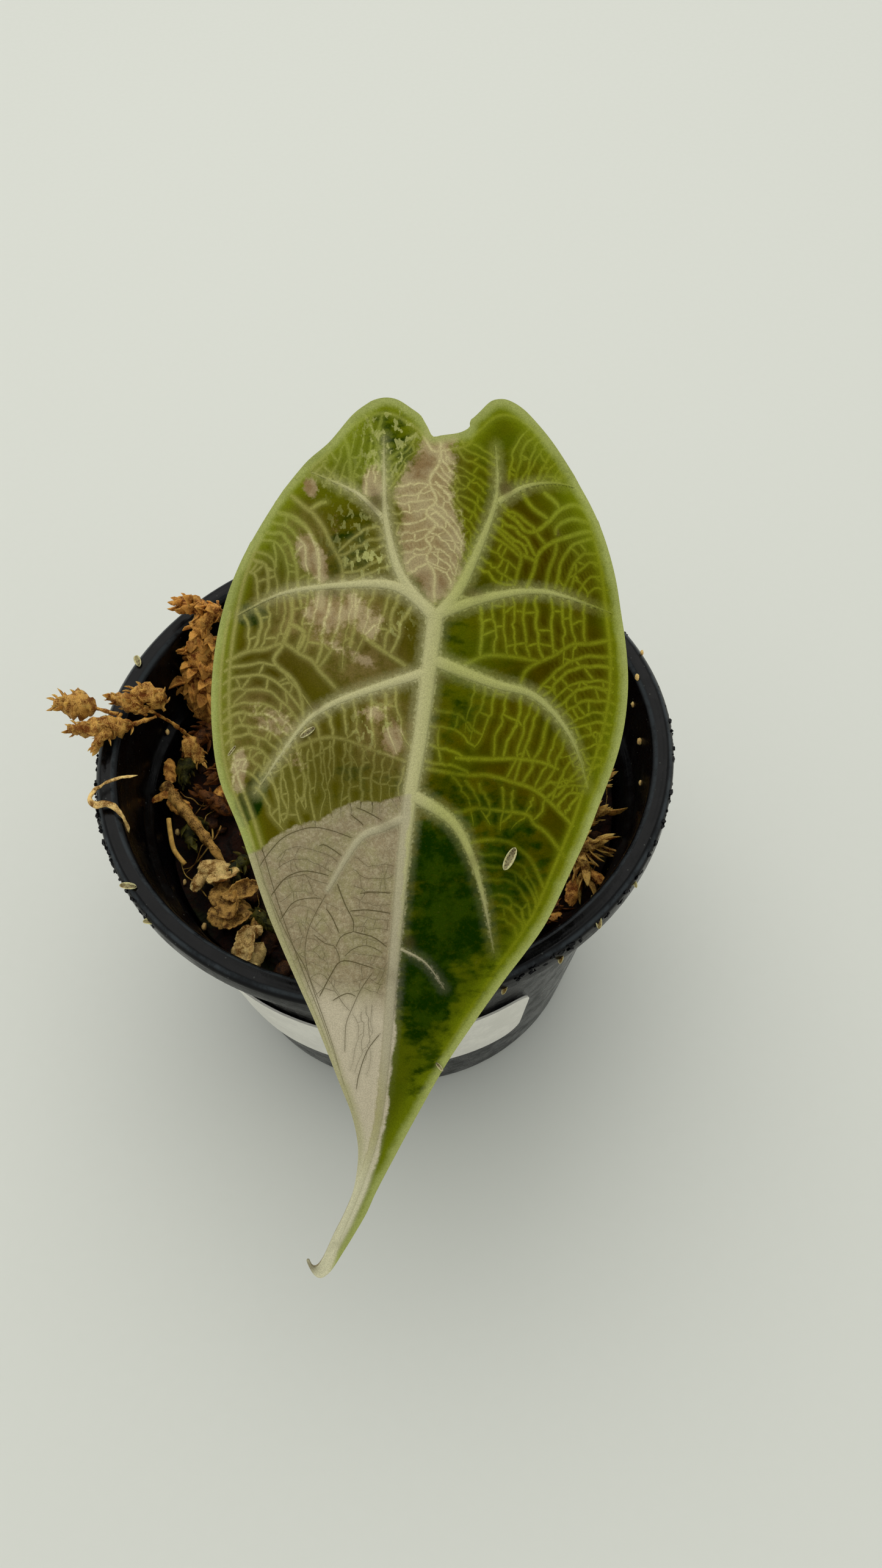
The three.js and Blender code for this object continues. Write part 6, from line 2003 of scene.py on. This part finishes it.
@dataclass
class HuskBits:
    """Split seed husks that lie on the blade and on the pot's lip."""

    blade: LeafBlade
    blade_spots: tuple[Point, ...] = (
        (10.2, 24.5, 1.34, 0.54, 3.3), (-12.4, 13.1, 0.95, 0.34, 2.8), (-20.4, 15.8, 0.7, 0.16, 3.1),
        (4.9, 48.3, 0.6, 0.22, 1.3))
    rim_spots: tuple[Point, ...] = (
        (-34, 15.4, 53.5, 1.1), (-31.4, -20.6, 53.4, 1.1), (-28.4, -24.9, 52.1, 1.1), (-37, 5.4, 53.4, 0.9),
        (20.1, -32.1, 50.8, 0.8), (24.9, -28.6, 52.5, 0.9), (30, -23.4, 51.9, 0.6), (13.2, -35.7, 50.8, 0.7))
    over_blade: float = 0.16
    rim_width: float = 0.45
    rim_turn: float = 1.57

    def build(self, material: Material) -> Piece:
        """Places the open husks."""
        bm, tip = tipped_mesh()
        out = Vector(self.blade.out_axis)
        for across, along, *shape in self.blade_spots:
            self._husk(bm, tip, self.blade.place(across, along, self.over_blade), out, *shape)
        for x, y, z, length in self.rim_spots:
            self._husk(bm, tip, Vector((x, y, z)), Vector((0, 0, 1)), length, self.rim_width * length,
                       math.atan2(y, x) + self.rim_turn)
        return add_piece("split_husks", bm, material)

    @staticmethod
    def _husk(bm: Mesh, tip: Layer, centre: Vector, up: Vector, length: float, width: float,
              turn: float) -> None:
        """One boat-shaped husk with a hollow."""
        side = Matrix.Rotation(turn, 3, up) @ up.orthogonal().normalized()
        over = up.cross(side)

        def place(across: float, along: float, layer: float) -> Vector:
            """One point of the husk's bent wall."""
            reach = 2 * along - 1
            bow = math.sqrt(max(0.0, 1 - reach * reach * 0.985))
            angle = math.pi * (0.1 + 0.8 * across)
            radius = width * (0.82 + 0.18 * layer)
            return (centre + side * (length * reach) + over * (radius * bow * math.cos(angle))
                    + up * (0.75 * width * bow - 0.75 * radius * bow * math.sin(angle) + 0.1 * reach ** 2))

        for vert in curved_shell(bm, 8, 14, place):
            spot = vert.co - centre
            bow = math.sqrt(max(0.0, 1 - (spot.dot(side) / length) ** 2))
            vert[tip] = 0.95 if abs(spot.dot(over)) > 0.6 * width * bow else 0.0


MOSS_SPRAYS: tuple[MossSpray, ...] = (
    MossSpray("moss_sprig_on_rim", ("moss_sprig_rim",), "moss_orange", "amber", (
        (((-27.2, 9, 40), (-28.4, 7.6, 47), (-30.6, 6, 53.4), (-32.6, 5.6, 55.4)), 1, 0.9, 3, 0.5),
        (((-29.4, 6.2, 53.6), (-31, 7.6, 55.4), (-33.6, 7.4, 56)), 1.2, 0.1, 4, 1.35),
        (((-31.6, 5, 54.2), (-33.6, 6.6, 55.4), (-36.6, 7.2, 56)), 1.1, 0.1, 24, 1),
        (((-30.4, 5.2, 53.8), (-33, 3.4, 54.8), (-36.2, 2.6, 55.4), (-41.2, 2.2, 55.9)), 1, 0.3, 5, 1.3),
        (((-34.6, 4.8, 55.2), (-36.4, 1.6, 55.6), (-37.6, -0.6, 55.2)), 1.1, 0.3, 6, 0.9),
        (((-35, 4.6, 55.4), (-38.4, 5.4, 56.2), (-43.2, 6.2, 56.8)), 1.2, 0.35, 7, 1.7),
        (((-28.2, 6.4, 47.6), (-27, 4.6, 47), (-25.8, 3.2, 45.6)), 1.1, 0.1, 28, 1.2))),
    MossSpray("moss_spray_at_back", ("moss_spray_back_left",), "moss_orange", "rust", (
        (((-24.6, 13.5, 38), (-27.6, 15.4, 42.5), (-28.6, 17, 46.5)), 2.2, 0.1, 8, 1.1),
        (((-24.4, 20.4, 53), (-26.4, 18.2, 50), (-28.4, 15.8, 46.4)), 2.4, 0, 9, 1.5, 0.5),
        (((-23.6, 18.6, 50.4), (-25.2, 16.4, 47.6), (-26.8, 14.4, 44.4)), 2.2, 0, 10, 1.4, 0.5),
        (((-22.4, 22.6, 55.4), (-24.8, 21.6, 55), (-26.4, 19.4, 52.6)), 2, 0, 29, 1.4, 0.5),
        (((-24, 22.4, 55.2), (-26.6, 23.2, 56), (-28.8, 23.6, 56.2)), 1.6, 0.1, 30, 1.2, 0.5))),
    MossSpray("moss_spray_at_left", ("moss_spray_left",), "moss_brown", "earth", (
        (((-16.4, 9.4, 38), (-20.4, 6, 40.8), (-25.2, 3, 42.2)), 2, 0.1, 12, 1),
        (((-16.4, 9.4, 38.2), (-18.6, 2, 40.6), (-19.6, -5.4, 40.4)), 2, 0.1, 13, 1),
        (((-24.6, 13.6, 40), (-27.4, 11.2, 41.2), (-28.8, 7.6, 41)), 1.8, 0, 31, 1.1),
        (((-22, -2, 39.6), (-24.6, -0.4, 40.8), (-27.4, 1.6, 41.2)), 1.6, 0, 32, 1))),
    MossSpray("moss_clump_at_right", ("moss_clump_right",), "moss_brown", "straw", (
        (((20.6, -8.4, 38), (25, -8.4, 41), (29, -6.6, 42.6)), 2.6, 0, 15, 0.9, 0.22),
        (((20.4, -9, 38.4), (24.4, -11.4, 41.2), (28.6, -11.6, 42)), 2.8, 0, 33, 1.1, 0.22),
        (((21.4, -9, 38.4), (25.4, -13.4, 41), (25.6, -16.2, 40.4)), 2.6, 0, 16, 1.1, 0.24),
        (((23.6, -4.6, 40), (27, -3, 42.4), (29.6, -2.2, 43.6)), 2.2, 0, 34, 0.7, 0.2))),
    MossSpray("moss_clump_in_front", ("moss_clump_front",), "moss_brown", "earth", (
        (((-8, -18.4, 38.4), (1, -21.4, 40.6), (10, -19, 39.2)), 2, 0, 18),
        (((14, -20.4, 38.6), (18, -21, 40.2), (21.8, -19.4, 39.6)), 2, 0, 35, 0.9))),
    MossSpray("moss_clump_behind", ("moss_clump_back",), "moss_brown", "earth", (
        (((-10, 18.6, 38.4), (0, 22, 40.6), (11, 18.8, 39)), 2, 0, 21),)),
    MossSpray("green_moss_bits", (), "moss_brown", "green", (
        (((-19.6, -9, 39.4), (-21.4, -11.4, 40.4), (-20.8, -13.6, 40.2)), 1.3, 0, 36, 0.9),
        (((-26.2, -2.8, 39.4), (-28, -4.6, 40.6), (-27.4, -7, 40)), 1.3, 0, 37, 1.1),
        (((-27.6, 7.6, 40.4), (-29.4, 5.4, 41.4), (-29, 2.8, 41)), 1.4, 0, 38, 1.1),
        (((-18.4, -17, 39.4), (-17.2, -19.4, 40.4), (-15.6, -20.8, 39.8)), 1.3, 0, 39, 0.8))),
)


@dataclass
class Studio:
    """Plain pale floor, soft light from the upper left, and the camera over the pot."""

    focal_px: float = 1850.0
    frame_px: float = 2569.0
    sensor: float = 36.0
    eye: Point = (7.232, -89.642, 172.375)
    pitch_deg: float = 55.579
    roll_deg: float = 3.251
    floor: Colour = rgb(206, 207, 199)
    floor_shade: Colour = rgb(200, 200, 190)
    floor_size: float = 3.0
    sky: Colour = rgb(235, 238, 236)
    sky_strength: float = 0.92
    window: Point = (-0.06, 0.3, 0.8)
    window_size: float = 0.9
    window_power: float = 3.3
    window_colour: Colour = rgb(255, 253, 248)
    aim: Point = (0, 0, 0.05)

    def build(self) -> None:
        """Adds the floor, the lights and the camera."""
        self._floor()
        self._window()
        world = bpy.data.worlds.new("studio_sky")
        bpy.context.scene.world = world
        world.use_nodes = True
        background = world.node_tree.nodes["Background"]
        background.inputs["Color"].default_value = self.sky
        background.inputs["Strength"].default_value = self.sky_strength
        bpy.context.scene.view_settings.view_transform = "Standard"
        self._camera()

    def _floor(self) -> None:
        """A wide pale table top."""
        bm = bmesh.new()
        bmesh.ops.create_grid(bm, x_segments=8, y_segments=8, size=self.floor_size / 2)
        mesh = bpy.data.meshes.new("table_top")
        bm.to_mesh(mesh)
        bm.free()
        wiring = Surface("pale_table")
        soft = wiring.noise(wiring.millimetres(), 0.004, 3.0)
        grain = wiring.noise(wiring.millimetres(), 0.6, 4.0)
        colour = wiring.mix(wiring.step(soft, 0.3, 0.7, 0.0, 0.06), self.floor, self.floor_shade)
        mesh.materials.append(wiring.dress(colour, None, wiring.step(grain, 0.3, 0.7, 0.52, 0.66), 0.3))
        table = bpy.data.objects.new("table_top", mesh)
        bpy.context.scene.collection.objects.link(table)

    def _window(self) -> None:
        """A square soft light that faces the pot."""
        data = bpy.data.lights.new("window_light", "AREA")
        data.size = self.window_size
        data.energy = self.window_power
        data.color = self.window_colour[:3]
        lamp = bpy.data.objects.new("window_light", data)
        lamp.location = self.window
        lamp.rotation_euler = (Vector(self.aim) - Vector(self.window)).to_track_quat("-Z", "Y").to_euler()
        bpy.context.scene.collection.objects.link(lamp)

    def _camera(self) -> None:
        """The camera at the photograph's place, pitch and roll."""
        data = bpy.data.cameras.new("overhead_camera")
        data.sensor_width = self.sensor
        data.lens = self.focal_px * self.sensor / self.frame_px
        data.clip_start = 0.005
        camera = bpy.data.objects.new("overhead_camera", data)
        level = Matrix.Rotation(math.pi / 2 - math.radians(self.pitch_deg), 4, "X")
        roll = Matrix.Rotation(-math.radians(self.roll_deg), 4, "Z")
        camera.matrix_world = Matrix.Translation(Vector(self.eye) * MM) @ level @ roll
        bpy.context.scene.collection.objects.link(camera)
        bpy.context.scene.camera = camera


def main() -> None:
    """Builds every piece in order and reports it."""
    logging.basicConfig(level=logging.INFO, format="%(name)s %(message)s")
    effects = Effects()
    litter = {tone.name.lower(): LitterFinish(tone).build(effects) for tone in Tone}
    pot = NurseryPot()
    pot.build(PotFinish().build())
    BareLabel(pot).build(PaperFinish().build(effects))
    mix = PottingMix(pot)
    mix.build(MixFinish().build(effects))
    mix.build_chips(litter["earth"])
    mix.build_fibres(litter["straw"])
    mix.build_grains(litter["pale"])
    plant = TuberAndSheath()
    stalk = LeafStalk()
    plant.build_tuber(TuberFinish().build(effects))
    plant.build_sheath(stalk, SheathFinish().build(effects))
    stalk.build(StalkFinish().build(effects))
    blade = LeafBlade()
    blade.build(LeafFinish().build())
    for spray in MOSS_SPRAYS:
        spray.build(litter[spray.finish])
    bits = DryBits()
    bits.build_strand(litter["husk"])
    bits.build_root(litter["pale"])
    for group in DRY_FLAKES:
        group.build(litter[group.finish])
    HuskBits(blade).build(litter["chaff"])
    Studio().build()
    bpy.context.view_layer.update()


if __name__ == "__main__":
    main()
